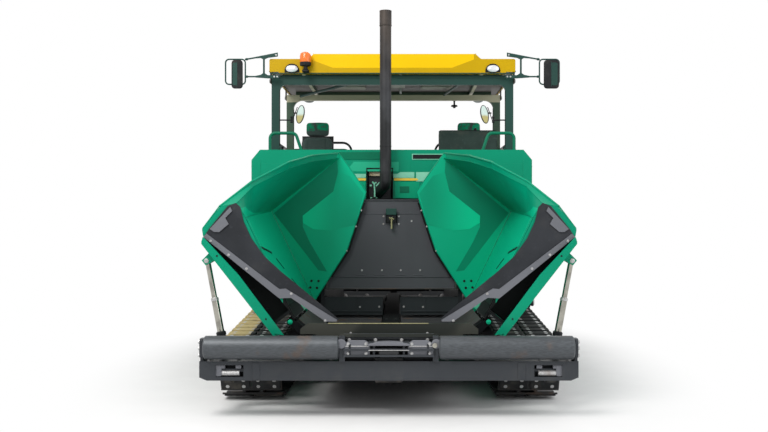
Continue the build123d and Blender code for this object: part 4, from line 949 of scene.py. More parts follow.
class PAVER_OT_push_beam(Operator):
    """Push beam details: roller end plates, tie-down pockets, hitch plates, drum and bolts"""

    bl_idname = "paver.push_beam"
    bl_label = "Push beam"

    def execute(self, context):
        size, front = context.scene.paver_sizes.bolt, -3.33
        y, z = PIVOT["push_roller_spin_right"][1:]
        plates = plate(rounded(0.11, 0.15, 0.02), 1.47, 1.4945, "x", (0, y + 0.01, 0.565))
        edge = box((1.02, 1.08), (front - 0.004, front + 0.01), (0.315, 0.45))
        edge += box((0.5, 0.98), (front - 0.003, front), (0.44, 0.455))
        add("beam_plates", both(plates + edge), "beam_paint", "push_beam", bevel=0.003)
        pocket = box((1.17, 1.215), (front + 0.012, front + 0.06), (0.4, 0.428))
        pocket += box((1.3, 1.345), (front + 0.012, front + 0.06), (0.4, 0.428))
        pocket += plate(rounded(0.05, 0.09, 0.012), front + 0.01, front + 0.03, "y", (1.35, 0, 0.383))
        add("pocket_blocks", both(pocket), "clamp_paint", "push_beam", slot="bare_steel", bevel=0.003)
        drum = bar((1.185, front + 0.03, 0.362), (1.325, front + 0.03, 0.362), 0.022)
        add("pocket_bars", both(drum), "bolt_steel", "push_beam")
        # hitch between the rollers
        tabs = plate([(0.15, 0.5), (0.35, 0.5), (0.35, 0.606), (0.3, 0.63), (0.19, 0.63), (0.15, 0.606)],
            -3.356, -3.344, "y")
        slot_ring = turned([(0, 0.04), (0.012, 0.036)], (0.375, -3.35, 0.6), -Y, 24)
        arch = plate(
            [(x, 0.602 + 0.018 * (1 - (x / 0.17) ** 2)) for x in np.linspace(-0.165, 0.165, 15)]
            + [(x, 0.588) for x in (0.165, -0.165)], -3.378, -3.3, "y")
        add("hitch_plates", both(tabs + slot_ring) + arch, "clamp_paint", "push_beam", bevel=0.003)
        skin = box((-0.392, 0.392), (-3.2935, -3.2895), (0.6455, 0.6735))
        add("hitch_skin", skin, "apron_paint", "push_beam", bevel=0.001)
        # painted highlights: thin bright lines along the hitch's edges
        lines = both(box((0.16, 0.345), (-3.36, -3.345), (0.578, 0.586)))
        lines += box((-0.16, 0.16), (-3.379, -3.372), (0.55, 0.556))
        add("hitch_edges", lines, "bolt_steel", "push_beam", bevel=0.001)
        barrel = turned([(0, 0.03), (0.01, 0.04), (0.15, 0.04), (0.16, 0.03)], (-0.08, -3.335, 0.532), X, 28)
        add("hitch_drum", barrel, "wheel_steel", "push_beam")
        spots = [(x, -3.29, 0.624) for x in (-0.315, -0.107, 0.1, 0.306)]
        spots += [(s * x, -3.356, zz) for s in (-1, 1) for x in (0.18, 0.32) for zz in (0.525, 0.6)]
        heads = bolts(spots, -Y, size * 0.62, 0.012)
        side = [(1.494, y + dy, z + dz) for dy in (-0.03, 0.05) for dz in (-0.055, 0.0, 0.05)]
        heads += both(bolts(side, X, size * 0.9, 0.012))
        heads += both(bolts(grid(1.05, front + 0.01, (0.335, 0.43)), -Y, 0.024, 0.012))
        heads += both(bolts(grid((0.46, 0.7, 0.95, 1.2, 1.42), -3.25, 0.46), Z, 0.024, 0.01))
        add("beam_bolts", heads, "bolt_steel", "push_beam")
        ring = turned([(0, 0.02), (0.004, 0.0225), (0.012, 0.02)], (0.362, -3.357, 0.59), -Y, 24)
        add("hitch_ring", ring, "chrome", "push_beam", slot="bare_steel")
        # end rings that turn with each roller
        for side, turn in SIDES:
            caps = join(
                rod(0.05, 0, 0.0035, (turn * x, y, z), (turn * way, 0, 0), 24)
                for x, way in ((0.396, -1), (1.466, 1)))
            seam = join(rod(0.0945, 0, 0.006, (turn * x, y, z), X, 48) for x in (0.43, 0.925, 1.425))
            add(f"roller_rings_{side}", caps + seam, "roller_steel", f"push_roller_{side}")
        # apron
        face = BOX["hopper_apron"][0][1] + 0.007
        add("apron_bolts", bolts(grid((-0.314, 0.31), face, 0.657), -Y, 0.013, 0.007), "bolt_steel", "hopper_apron")
        # painted highlight: a pale strip along the apron's top edge
        lip = box((-0.5, 0.32), (-3.109, -3.1), (0.7325, 0.7385))
        add("apron_lip", lip, "rubbed_edge", "hopper_apron", bevel=0.002)
        return {"FINISHED"}


# ---- hopper ----
LEAN = radians(52)
OUT, UP = np.array([-cos(LEAN), 0, sin(LEAN)]), np.array([sin(LEAN), 0, cos(LEAN)])
WING = plane(OUT, UP, Y)
HINGE = PIVOT["wing_fold_left"] * (1, 0, 1)
# The wing's inner corners at each place along it: y, then out and up of the floor's edge, bend, wall top and rim.
WING_LINES = np.array([
    (-3.05, 0, 0.047, 0.9, 0.24, 1.04, 0.252, 1.104, 0.128),
    (-2.78, 0, 0.047, 0.915, 0.246, 1.1, 0.418, 1.14, 0.436),
    (-2.44, 0, 0.047, 0.932, 0.25, 1.078, 0.722, 1.119, 0.77),
    (-2.0, 0, 0.047, 0.95, 0.257, 1.048, 0.918, 1.09, 0.955),
    (-1.312, 0, 0.047, 0.984, 0.266, 0.985, 1.13, 1.028, 1.16),
])


def on_wing(places, y):
    """Places from pairs of the left wing's own out and up, and their place along the machine."""
    return HINGE + np.array(places) @ (OUT, UP) + np.reshape(y, (-1, 1)) * Y


def wing_line(which, lift=0.0):
    """Points along one of the wing's long edges; which is 0 for the floor's edge and 3 for the rim."""
    y = np.linspace(-3.05, -1.312, 60)
    out = np.interp(y, WING_LINES[:, 0], WING_LINES[:, 1 + 2 * which])
    up = np.interp(y, WING_LINES[:, 0], WING_LINES[:, 2 + 2 * which])
    return on_wing(np.column_stack((out, up + lift)), y)


def on_floor(outline):
    """A thin plate on the wing's floor: its outline runs along the floor and along the machine."""
    run = unit(0.9 * OUT + 0.199 * UP)
    return plate(outline, -0.002, 0.003, plane(run, Y, np.cross(Y, run)), on_wing([(0, 0.047)], 0))


class PAVER_OT_wings(Operator):
    """Hopper wing details: rolled rims, slits, welds, ribs and bolts, with painted highlight and painted shade on
    thin plates
    """

    bl_idname = "paver.wings"
    bl_label = "Hopper wings"

    def execute(self, context):
        sizes = context.scene.paver_sizes
        free_edge = [(1.028, 1.16), (0.79, 1.153), (0.548, 1.137),
            (0.487, 1.05), (0.204, 0.624), (0.1, 0.33), (0, 0.047)]
        rims = tube(wing_line(3), sizes.weld, 10) + tube(on_wing(free_edge, -1.306), 0.007, 8)
        front = [(1.104, 0.128), (1.046, -0.09), (1.034, -0.1), (0.988, -0.125)]
        rims += tube(on_wing(front, -3.056), 0.006, 8)
        pair("wing_rims", rims, "green_enamel", "hopper_wing_{}")
        # welds along the bends
        welds = join(tube(wing_line(which, 0.002), 0.0035, 6) for which in (1, 2))
        out = np.linspace(0.0, 0.984, 30)
        welds += tube(on_wing(np.column_stack((out, 0.049 + 0.2225 * out)), -1.314), 0.005, 6)
        pair("wing_welds", welds, "green_wing", "hopper_wing_{}")
        # slits along the floor's joint line: out and place along the machine of each end, then half the width
        slits = []
        for (u0, y0), (u1, y1), half in (((0.634, -3.035), (0.627, -2.99), 0.009),
                ((0.624, -2.965), (0.61, -2.87), 0.01), ((0.606, -2.83), (0.57, -2.6), 0.009),
                ((0.51, -2.49), (0.405, -2.31), 0.0045), ((0.3, -2.14), (0.2, -1.96), 0.0045)):
            ends = np.array([(u0 * 1.0234, y0), (u1 * 1.0234, y1)])
            side = unit(ends[1] - ends[0])[::-1] * (-half, half)
            slits.append(on_floor(np.vstack((ends + side, ends[::-1] - side))))
        pair("wing_slots", join(slits), "black_paint", "hopper_wing_{}")
        holes = on_wing([(0.134, 0.205), (0.089, 0.15), (0.179, 0.15), (0.134, 0.1)], -1.3125)
        dark = turned([(-0.001, 0.013), (0.002, 0.012)], (0, 0, 0), -Y, 16).at(holes)
        pair("wing_bores", dark, "black_paint", "hopper_wing_{}")
        # outer ribs
        ribs = []
        for y in (-2.62, -2.2, -1.75):
            lines = np.array([np.interp(y, WING_LINES[:, 0], WING_LINES[:, k]) for k in range(3, 7)])
            a, b = lines[:2], lines[2:]
            along = unit(b - a)
            off = np.array([along[1], -along[0]])
            inner = [a + along * 0.02 + off * 0.013, b - along * 0.02 + off * 0.013]
            outer = [b - along * 0.07 + off * 0.05, a + along * 0.02 + off * 0.05]
            ribs.append(plate(inner + outer, y - 0.006, y + 0.006, WING, HINGE))
        pair("wing_ribs", join(ribs), "green_enamel", "hopper_wing_{}", bevel=0.002)
        # bolts of the clamp strip
        strip = [(0.922, -0.099), (0.742, -0.053), (0.562, -0.008), (0.176, 0.155), (-0.168, 0.238)]
        heads = bolts(on_wing(strip, BOX["flap_clamp_left"][0][1]), -Y, 0.015, 0.007)
        pair("clamp_bolts", heads, "bolt_steel", "hopper_wing_{}")
        # painted shade: near-black skins over the web and the flange's upper side
        skin = plate([(0.065, -0.148), (0.065, 0.05), (0.9, 0.228), (1.03, 0.178), (0.976, -0.12), (0.944, -0.148)],
            -2.9035, -2.9002, WING, HINGE)
        skin += plate([(0.03, -0.15), (0.03, -0.1482), (0.945, -0.1482), (0.943, -0.15)],
            -3.104, -2.904, WING, HINGE)
        skin += plate([(0.05, -0.148), (0.06, -0.148), (0.06, -0.1), (0.05, -0.1)], -3.1055, -3.1052, WING, HINGE)
        skin += on_floor([(0.005, -3.045), (0.12, -3.045), (0.12, -2.5), (0.005, -2.3)])
        skin += plate([(0.487, 1.05), (0.204, 0.624), (0.1, 0.33), (0.076, 0.337), (0.179, 0.636), (0.464, 1.062)],
            -1.307, -1.301, WING, HINGE)
        skin += plate([(0.06, -0.16), (0.084, -0.16), (0.084, 0.056), (0.06, 0.056)], -3.0645, -3.062, WING, HINGE)
        heads = bolts(on_wing([(0.336, 0.842), (0.2, 0.618), (0.43, 0.985)], -1.307), -Y, 0.012, 0.006)
        pair("wing_edge_bolts", heads, "bolt_steel", "hopper_wing_{}")
        # painted plates on the inner end plate: a painted highlight and a painted shade
        lit = [(0.752, 0.485), (0.755, 0.88), (0.878, 1.042), (0.775, 1.109),
            (0.551, 1.108), (0.353, 0.844), (0.465, 0.611), (0.578, 0.487), (0.693, 0.442)]
        shade = [(0.951, 0.273), (0.986, 1.11), (0.881, 1.038), (0.755, 0.88), (0.752, 0.485),
            (0.693, 0.442), (0.666, 0.418), (0.501, 0.378), (0.157, 0.332), (0.219, 0.272), (0.715, 0.274)]
        pair("wing_panel", plate(lit, -1.3139, -1.3115, WING, HINGE), "wing_lit", "hopper_wing_{}")
        pair("wing_shade", plate(shade, -1.3133, -1.3115, WING, HINGE), "green_wing", "hopper_wing_{}")
        pair("wing_skins", skin, "cavity_black", "hopper_wing_{}")
        # bolts of the lower flange, the web and the hinge's end
        web = [(0.2, -0.11), (0.4, -0.11), (0.6, -0.11), (0.8, -0.11), (0.95, -0.06)]
        heads = bolts(on_wing(web, -2.9035), -Y, sizes.bolt * 0.7, 0.01)
        heads += rod(0.008, -0.001, 0.002, (0, 0, 0), -Y, 12).at(
            on_wing([(0.79, -0.128), (0.14, -0.13)], BOX["hopper_wing_left"][0][1]))
        pair("web_bolts", heads, "black_paint", "hopper_wing_{}")
        pin = cap(0.02, 0.01, 0.012, 0.016, HINGE + (0, -3.045, 0), -Y, 24)
        pin += turned([(0.012, 0.011), (0.02, 0.011), (0.023, 0.008)], HINGE + (0, -3.045, 0), -Y, 6)
        add("hinge_pin_caps", both(pin), "bright_green")
        pair("rib_seams", tube(on_wing([(0.06, 0.062), (0.9, 0.252)], -3.0635), 0.003, 6),
            "wing_green", "hopper_wing_{}")
        return {"FINISHED"}


class PAVER_OT_rear_wall(Operator):
    """Hopper rear wall details: folds, latch, bolts and sill"""

    bl_idname = "paver.rear_wall"
    bl_label = "Hopper rear wall"

    def execute(self, context):
        face, height = -1.25, BOX["hopper_rear_wall"][1][2]
        top = box((-0.895, 0.895), (face - 0.012, face + 0.06), (height - 0.006, height + 0.004))
        seam = box((-0.88, 0.88), (face - 0.004, face), (1.65, 1.655))
        seam += box((-0.72, 0.72), (face - 0.006, face), (1.008, 1.015))
        seam += join(bar((x, face, 1.032), (x + 0.1, face, 1.032), 0.004, 8) for x in (-0.36, -0.17, 0.045, 0.22))
        folds = both(plate([(0.69, 1.03), (0.72, 1.03), (0.86, 1.69), (0.84, 1.69)], face - 0.005, face, "y"))
        add("wall_folds", top + seam + folds, "wall_paint", bevel=0.002)
        block = plate(rounded(0.106, 0.066, 0.008), face - 0.056, face - 0.03, "y", (-0.0015, 0, 1.674))
        add("latch_block", block, "post_paint", bevel=0.004)
        latch = box((-0.05, 0.046), (face - 0.045, face), (1.57, 1.641))
        latch += both(box((0.05, 0.06), (face - 0.02, face), (1.56, 1.66)))
        add("wall_latch", latch, "black_paint", bevel=0.003)
        spots = [(x, face, z) for x in (-0.081, 0.075) for z in (1.627, 1.55)] + [(0.205, face, 1.58)]
        spots += [(x, face - 0.001, 1.08) for x in (-0.3, -0.096, 0.095, 0.292)]
        add("wall_bolts", bolts(spots, -Y, 0.013, 0.007), "bolt_steel")
        pin = bar((0.002, face - 0.05, 1.5), (0.002, face - 0.05, 1.6), 0.0085, 14)
        pin += bar((-0.025, face - 0.05, 1.616), (0.028, face - 0.05, 1.598), 0.005, 10)
        pin += bar((-0.02, face - 0.05, 1.598), (0.012, face - 0.05, 1.62), 0.004, 10)
        add("latch_pin", pin, "rubbed_edge")
        sill = box((-0.65, 0.65), (face - 0.046, face - 0.004), (0.8885, 0.9))
        sill += both(box((0.64, 0.66), (face - 0.05, face), (0.89, 1.0)))
        add("wall_sill", sill, "slat_steel", bevel=0.002)
        return {"FINISHED"}


# ---- hood, exhaust and platform ----
class PAVER_OT_hood(Operator):
    """Hood details: panel seams, light strip, bordered plate, muffler niche, grilles, latches and handles"""

    bl_idname = "paver.hood"
    bl_label = "Engine hood"

    def execute(self, context):
        front, top = -0.9, BOX["engine_hood"][1][2]
        proud, lifted = (front - 0.003, front + 0.001), (top - 0.001, top + 0.004)
        inset, strip_depth, stuck_on = ((front - out, front) for out in (0.0045, 0.007, 0.0095))
        # raised front panels leave the seams between them
        panels = both(box((0.425, 1.372), proud, (1.62, 2.19)))
        panels += box((0.2, 0.415), proud, (1.62, 2.215))
        panels += box((-0.415, -0.27), proud, (1.62, 2.215))
        panels += both(plate([(1.385, 1.62), (1.472, 1.62), (1.472, 2.205), (1.385, 2.222)], *proud, "y"))
        add("hood_panels", panels, "green_enamel", bevel=0.0015)
        # top panels
        roof = both(box((0.3, 1.33), (front + 0.05, 0.55), lifted))
        roof += box((-0.28, 0.28), (front + 0.05, 0.55), lifted)
        add("hood_top_panels", roof, "green_enamel", bevel=0.002)
        vents = both(join(plate(rounded(0.36, 0.02, 0.009), top + 0.003, top + 0.008, "z", (0.62, y, 0))
            for y in np.arange(-0.55, 0.3, 0.045)))
        add("hood_vents", vents, "black_plastic", bevel=0.002)
        # front band, plate with a pale border, light strip and stripes
        # painted shade: a darker band across the top of the hood's front
        add("hood_band", box((-0.62, -0.11), (front - 0.005, front), (2.229, 2.311)), "band_green", bevel=0.002)
        border = plate(rounded(0.37, 0.062, 0.006), front - 0.008, front, "y", (0.398, 0, 2.26))
        add("plate_border", border, "pale_strip", slot="painted_yellow", bevel=0.0015)
        blank = plate(rounded(0.352, 0.046, 0.004), front - 0.0095, front - 0.002, "y", (0.398, 0, 2.26))
        add("plate_blank", blank, "black_paint", bevel=0.001)
        # painted highlight: a paler green patch on the hood front
        soft = plate([(-0.47, 2.125), (-0.4, 2.206), (0.072, 2.206), (0.072, 2.105), (-0.47, 2.105)], *inset, "y")
        add("hood_soft_panel", soft, "pale_green", bevel=0.0015)
        strips = box((-0.42, -0.272), strip_depth, (2.036, 2.079))
        strips += plate([(0.016, 2.036), (0.238, 2.036), (0.238, 2.098),
            (0.088, 2.098), (0.06, 2.08), (0.016, 2.08)], *strip_depth, "y")
        strips += box((0.256, 0.54), strip_depth, (1.998, 2.098))
        add("hood_strips", strips, "pale_strip", slot="painted_green", bevel=0.002)
        stripe = plate([(0.022, 2.009), (0.268, 2.009), (0.28, 2.021), (0.268, 2.033), (0.022, 2.033)],
            *stuck_on, "y")
        stripe += plate([(-0.366, 2.009), (-0.272, 2.009), (-0.272, 2.033), (-0.386, 2.033)], *stuck_on, "y")
        add("hood_stripes", stripe, "stripe_yellow")
        low_panel = box((0.03, 0.29), inset, (1.824, 1.996))
        low_panel += box((-0.42, -0.28), inset, (1.824, 1.996))
        add("hood_low_panels", low_panel, "bright_green", bevel=0.0015)
        add("hood_gap", box((-0.28, 0.3), (front - 0.006, front), (1.79, 1.821)), "cavity_black")
        recess = box((0.078, 0.19), (front + 0.0095, front + 0.0125), (1.882, 1.948))
        bars = join(box((0.08, 0.188), (front + 0.002, front + 0.012), (z, z + 0.005))
            for z in (1.893, 1.908, 1.923, 1.938))
        add("hood_recess", recess + bars, "green_wing", bevel=0.001)
        add("hood_flap", box((0.086, 0.184), (-0.9095, -0.899), (1.882, 1.948)), "band_green", bevel=0.001)
        # muffler niche
        frame_bars = join(box(x, (front - 0.008, front + 0.02), z) for x, z in (
            ((-0.268, -0.256), (1.805, 2.143)), ((0.005, 0.014), (1.805, 2.143)),
            ((-0.268, 0.014), (2.13, 2.143)), ((-0.268, 0.014), (1.805, 1.815))))
        add("niche_frame", frame_bars, "cavity_black", bevel=0.002)
        add("niche_back", box((-0.2559, 0.0049), (-0.5495, -0.552), (1.8155, 2.1295)), "grille_black")
        # round the muffler: beige cover, dark ledge, pale stay with a forked top, slanted plug and a spot
        cover = plate(rounded(0.13, 0.05, 0.012), front + 0.03, front + 0.2, "y", (-0.176, 0, 2.083))
        add("muffler_cover", cover, "heat_cover", bevel=0.006)
        ledge = box((-0.25, -0.11), (front + 0.025, front + 0.2), (2.112, 2.128))
        add("niche_ledge", ledge + bar((-0.24, -0.66, 1.97), (-0.01, -0.66, 1.97), 0.075, 28), "black_paint",
            slot="exhaust_black", bevel=0.003)
        out = front - 0.05
        stay = tube([(-0.178, out, 1.835), (-0.178, out, 1.9), (-0.181, out, 1.965), (-0.181, out, 1.985)],
            0.009, 10)
        for (x, z), (x_end, z_end) in (((-0.192, 1.98), (-0.203, 1.996)), ((-0.17, 1.98), (-0.16, 1.988))):
            stay += tube([(-0.181, out, 1.965), (x, out + 0.002, z), (x_end, out + 0.004, z_end)], 0.007, 8)
        stay += turned([(0, 0.012), (0.01, 0.011), (0.012, 0.006)], (-0.222, front + 0.03, 1.956), -Y, 16)
        stay += bolts([(-0.218, front + 0.03, 1.826), (-0.16, front + 0.03, 1.828)], -Y, 0.014, 0.006)
        add("niche_stay", stay, "pale_strip")
        plug = turned([(0, 0.012), (0.004, 0.0145), (0.05, 0.0145), (0.054, 0.012)],
            (-0.158, front - 0.045, 1.945), (0.75, -0.1, 0.7), 20)
        add("niche_plug", plug, "pale_strip")
        # side doors: grilles, frames and latches; then the fixed panels round them
        pair("door_grille", box((-1.484, -1.479), (-0.62, 0.24), (1.82, 2.12)), "grille_black", "service_door_{}")
        frames = box((-1.4855, -1.48), (-0.2, -0.18), (1.82, 2.12))
        frames += join(box((-1.4865, -1.479), y, z) for y, z in (
            ((-0.65, 0.27), (2.12, 2.145)), ((-0.65, 0.27), (1.795, 1.82)),
            ((-0.65, -0.62), (1.795, 2.145)), ((0.24, 0.27), (1.795, 2.145))))
        pair("door_frames", frames, "green_enamel", "service_door_{}", bevel=0.002)
        latch = plate(rounded(0.05, 0.11, 0.015), -1.491, -1.48, "x", (0, 0.34, 1.98))
        latch += turned([(0, 0.016), (0.006, 0.015)], (-1.49, 0.34, 1.955), -X, 20)
        pair("door_latch", latch, "black_plastic", "service_door_{}", bevel=0.002)
        panels = box((-1.483, -1.479), (-0.87, -0.785), (1.62, 2.2))
        panels += box((-1.483, -1.479), (0.44, 0.58), (1.62, 2.2))
        panels += box((-1.483, -1.479), (-0.77, 0.43), (1.61, 1.73))
        add("hood_side_panels", both(panels), "green_enamel", bevel=0.0015)
        heads = [(-1.483, y, z) for y in (-0.84, 0.54) for z in (1.66, 1.9, 2.16)] + [(-1.483, y, 1.67)
            for y in (-0.7, -0.3, 0.1, 0.38)]
        add("hood_screws", both(bolts(heads, -X, 0.018, 0.007)), "bolt_steel")
        # handrail feet
        feet = both(join(cap(0.04, 0.008, 0.012, 0.024, (x, -0.5, top), Z, 24) for x in (0.99, 1.34)))
        add("handrail_feet", feet, "rail_paint")
        heads = both(bolts([(x + dx, -0.5 + dy, top + 0.008) for x in (0.99, 1.34)
            for dx, dy in ((0.03, 0), (-0.03, 0), (0, 0.03), (0, -0.03))], Z, 0.012, 0.006))
        add("handrail_screws", heads, "bolt_steel")
        # exhaust: end ring, seams and stay
        x, y, stack_top = -0.063, -1.05, BOX["exhaust_stack"][1][2]
        rings = turned([(0, 0.0625), (0.003, 0.0645), (0.012, 0.0645), (0.014, 0.0625)],
            (x, y, stack_top - 0.16), Z, 40)
        rings += turned([(0, 0.0625), (0.0, 0.0632), (0.01, 0.0632), (0.01, 0.0625)],
            (x, y, stack_top - 0.0102), Z, 40)
        rings += turned([(0, 0.0595), (0.002, 0.0615), (0.014, 0.0615), (0.016, 0.0595)], (x, y, 2.35), Z, 40)
        add("stack_rings", rings, "stack_metal")
        stay = box((x - 0.05, x + 0.05), (y + 0.03, y + 0.16), (2.23, 2.245))
        stay += box((x - 0.03, x + 0.03), (y + 0.05, front), (2.2, 2.23))
        add("stack_stay", stay, "black_paint", slot="exhaust_black", bevel=0.003)
        return {"FINISHED"}


class PAVER_OT_platform(Operator):
    """Platform details: mats, edge strips, console with screen, keys and stick, rail feet, steps and tool box"""

    bl_idname = "paver.platform"
    bl_label = "Operator platform"

    def execute(self, context):
        top = BOX["operator_deck"][1][2]
        edge = both(box((1.465, 1.4805), (0.61, 1.88), (top - 0.045, top + 0.03))
            + box((0.3, 1.42), (1.935, 1.9505), (top - 0.045, top + 0.03)))
        add("deck_edges", edge, "rail_paint", bevel=0.003)
        skirt = both(box((1.255, 1.27), (-0.85, 1.85), (1.2, 1.58)) + join(
            box((1.268, 1.285), (y, y + 0.02), (1.2, 1.58)) for y in (-0.6, -0.1, 0.4, 0.9, 1.4)))
        add("body_skirts", skirt, "green_enamel", bevel=0.003)
        vents = both(join(box((1.27, 1.276), (0.46, 0.86), (z, z + 0.012)) for z in np.arange(1.26, 1.5, 0.028)))
        add("skirt_vents", vents, "black_plastic", bevel=0.002)
        mats = both(plate(rounded(0.62, 0.86, 0.03), top, top + 0.006, "z", (0.86, 1.35, 0)))
        add("deck_mats", mats, "pad_rubber", bevel=0.002)
        hatch = plate(rounded(0.5, 0.5, 0.02), top, top + 0.004, "z", (0, 1.3, 0))
        hatch += both(turned([(0, 0.022), (0.006, 0.02)], (0.19, 1.3, top + 0.003), Z, 20))
        add("deck_hatch", hatch, "deck_plate", bevel=0.002)
        # console
        panel = plate([(0.598, 2.693), (0.7005, 2.6425), (0.7025, 2.6465), (0.6, 2.697)], 0.575, 1.25, "x")
        add("console_panel", panel, "black_plastic", bevel=0.002)
        lean = plane(X, unit((0, -0.1, 0.05)), unit((0, 0.05, 0.1)))
        screens = plate(rounded(0.2, 0.075, 0.008), 0.0, 0.006, lean, (0.92, 0.651, 2.671))
        add("console_screen", screens, "screen_glass", bevel=0.001)
        key = plate(rounded(0.018, 0.014, 0.004, 3), 0.0, 0.005, lean)
        keys = key.at([(x, y, 2.696 - (y - 0.6) * 0.5) for x in np.r_[0.6:0.79:0.03, 1.05:1.24:0.03]
            for y in (0.622, 0.65, 0.678)])
        add("console_keys", keys, "grey_plastic", bevel=0.001)
        stop = turned([(0, 0.012), (0.012, 0.012), (0.013, 0.02), (0.024, 0.021), (0.028, 0.014)],
            (0.82, 0.66, 2.668), (0, 0.05, 0.1), 24)
        add("console_stop", stop, "red_plastic")
        stick = turned([(0, 0.018), (0.008, 0.011), (0.03, 0.008), (0.034, 0.017), (0.062, 0.018), (0.07, 0.01)],
            (1.01, 0.66, 2.664), (0, 0.04, 0.1), 20)
        add("console_stick", stick, "black_plastic")
        foot = both(box((0.1, 0.5), (0.56, 0.6), (2.334, 2.4))) + box((0.56, 1.265), (0.52, 0.545), (2.334, 2.42))
        add("console_foot", foot, "dark_rail_paint", bevel=0.004)
        ribs = join(box(x, (0.53, 0.62), (z, z + 0.006)) for x in ((0.558, 0.566), (1.259, 1.267))
            for z in np.arange(2.4, 2.56, 0.02))
        add("console_ribs", ribs, "black_plastic")
        # tool box and the back panels of the hood
        chest = plate(rounded(0.5, 0.3, 0.02), top, top + 0.32, "z", (0.0, 0.78, 0))
        add("deck_chest", chest, "wall_paint", bevel=0.01)
        lid = plate(rounded(0.52, 0.32, 0.02), top + 0.32, top + 0.335, "z", (0.0, 0.78, 0))
        lid += both(box((0.14, 0.18), (0.935, 0.945), (top + 0.26, top + 0.33)))
        add("chest_lid", lid, "black_paint", bevel=0.004)
        add("hood_back_panels", both(box((0.3, 1.4), (0.599, 0.604), (1.7, 2.3))), "green_enamel", bevel=0.002)
        # rail feet and clamps, then the loops behind the seats
        posts = [(1.445, 0.7), (1.445, 1.3), (1.0, 1.9), (0.56, 1.9)]
        feet = both(join(cap(0.045, 0.008, 0.014, 0.027, (x, y, top), Z, 24) for x, y in posts))
        add("rail_feet", feet, "dark_rail_paint")
        heads = both(bolts([(x + dx, y + dy, top + 0.008) for x, y in posts
            for dx in (-0.024, 0.024) for dy in (-0.024, 0.024)], Z, 0.012, 0.006))
        add("rail_screws", heads, "bolt_steel")
        clamps = both(join(rod(0.026, -0.02, 0.02, spot, axis, 20) for spot, axis in (
            ((1.445, 0.72, 2.1), Y), ((1.445, 1.28, 2.1), Y), ((0.98, 1.9, 2.1), X), ((0.58, 1.9, 2.1), X),
            ((1.445, 1.3, 2.54), Z), ((1.0, 1.9, 2.54), Z))))
        add("rail_clamps", clamps, "black_plastic")
        path = np.vstack(([(1.15, 1.36, top)], [(1.15, 1.36, 2.5)],
            arc((1.09, 1.36, 2.552), 0.06, 0, 90, "x", "z", 6),
            arc((0.66, 1.36, 2.497), 0.115, 90, 180, "x", "z", 9), [(0.545, 1.36, 2.4), (0.545, 1.36, top)]))
        loops = both(tube(path, 0.015, 10) + join(cap(0.04, 0.008, 0.014, 0.02, (x, 1.36, top), Z, 20)
            for x in (1.15, 0.545)))
        add("seat_rails", loops, "dark_rail_paint")
        treads = join(plate(rounded(0.53, 0.1, 0.01), z, z + 0.006, "z", (0, 1.937, 0)) for z in (1.2, 1.42))
        add("step_treads", treads, "deck_plate", bevel=0.0015)
        lamps = both(plate(rounded(0.12, 0.06, 0.012), 1.951, 1.967, "y", (1.2, 0, 1.62)))
        add("rear_lamps", lamps, "red_plastic", bevel=0.003)
        return {"FINISHED"}


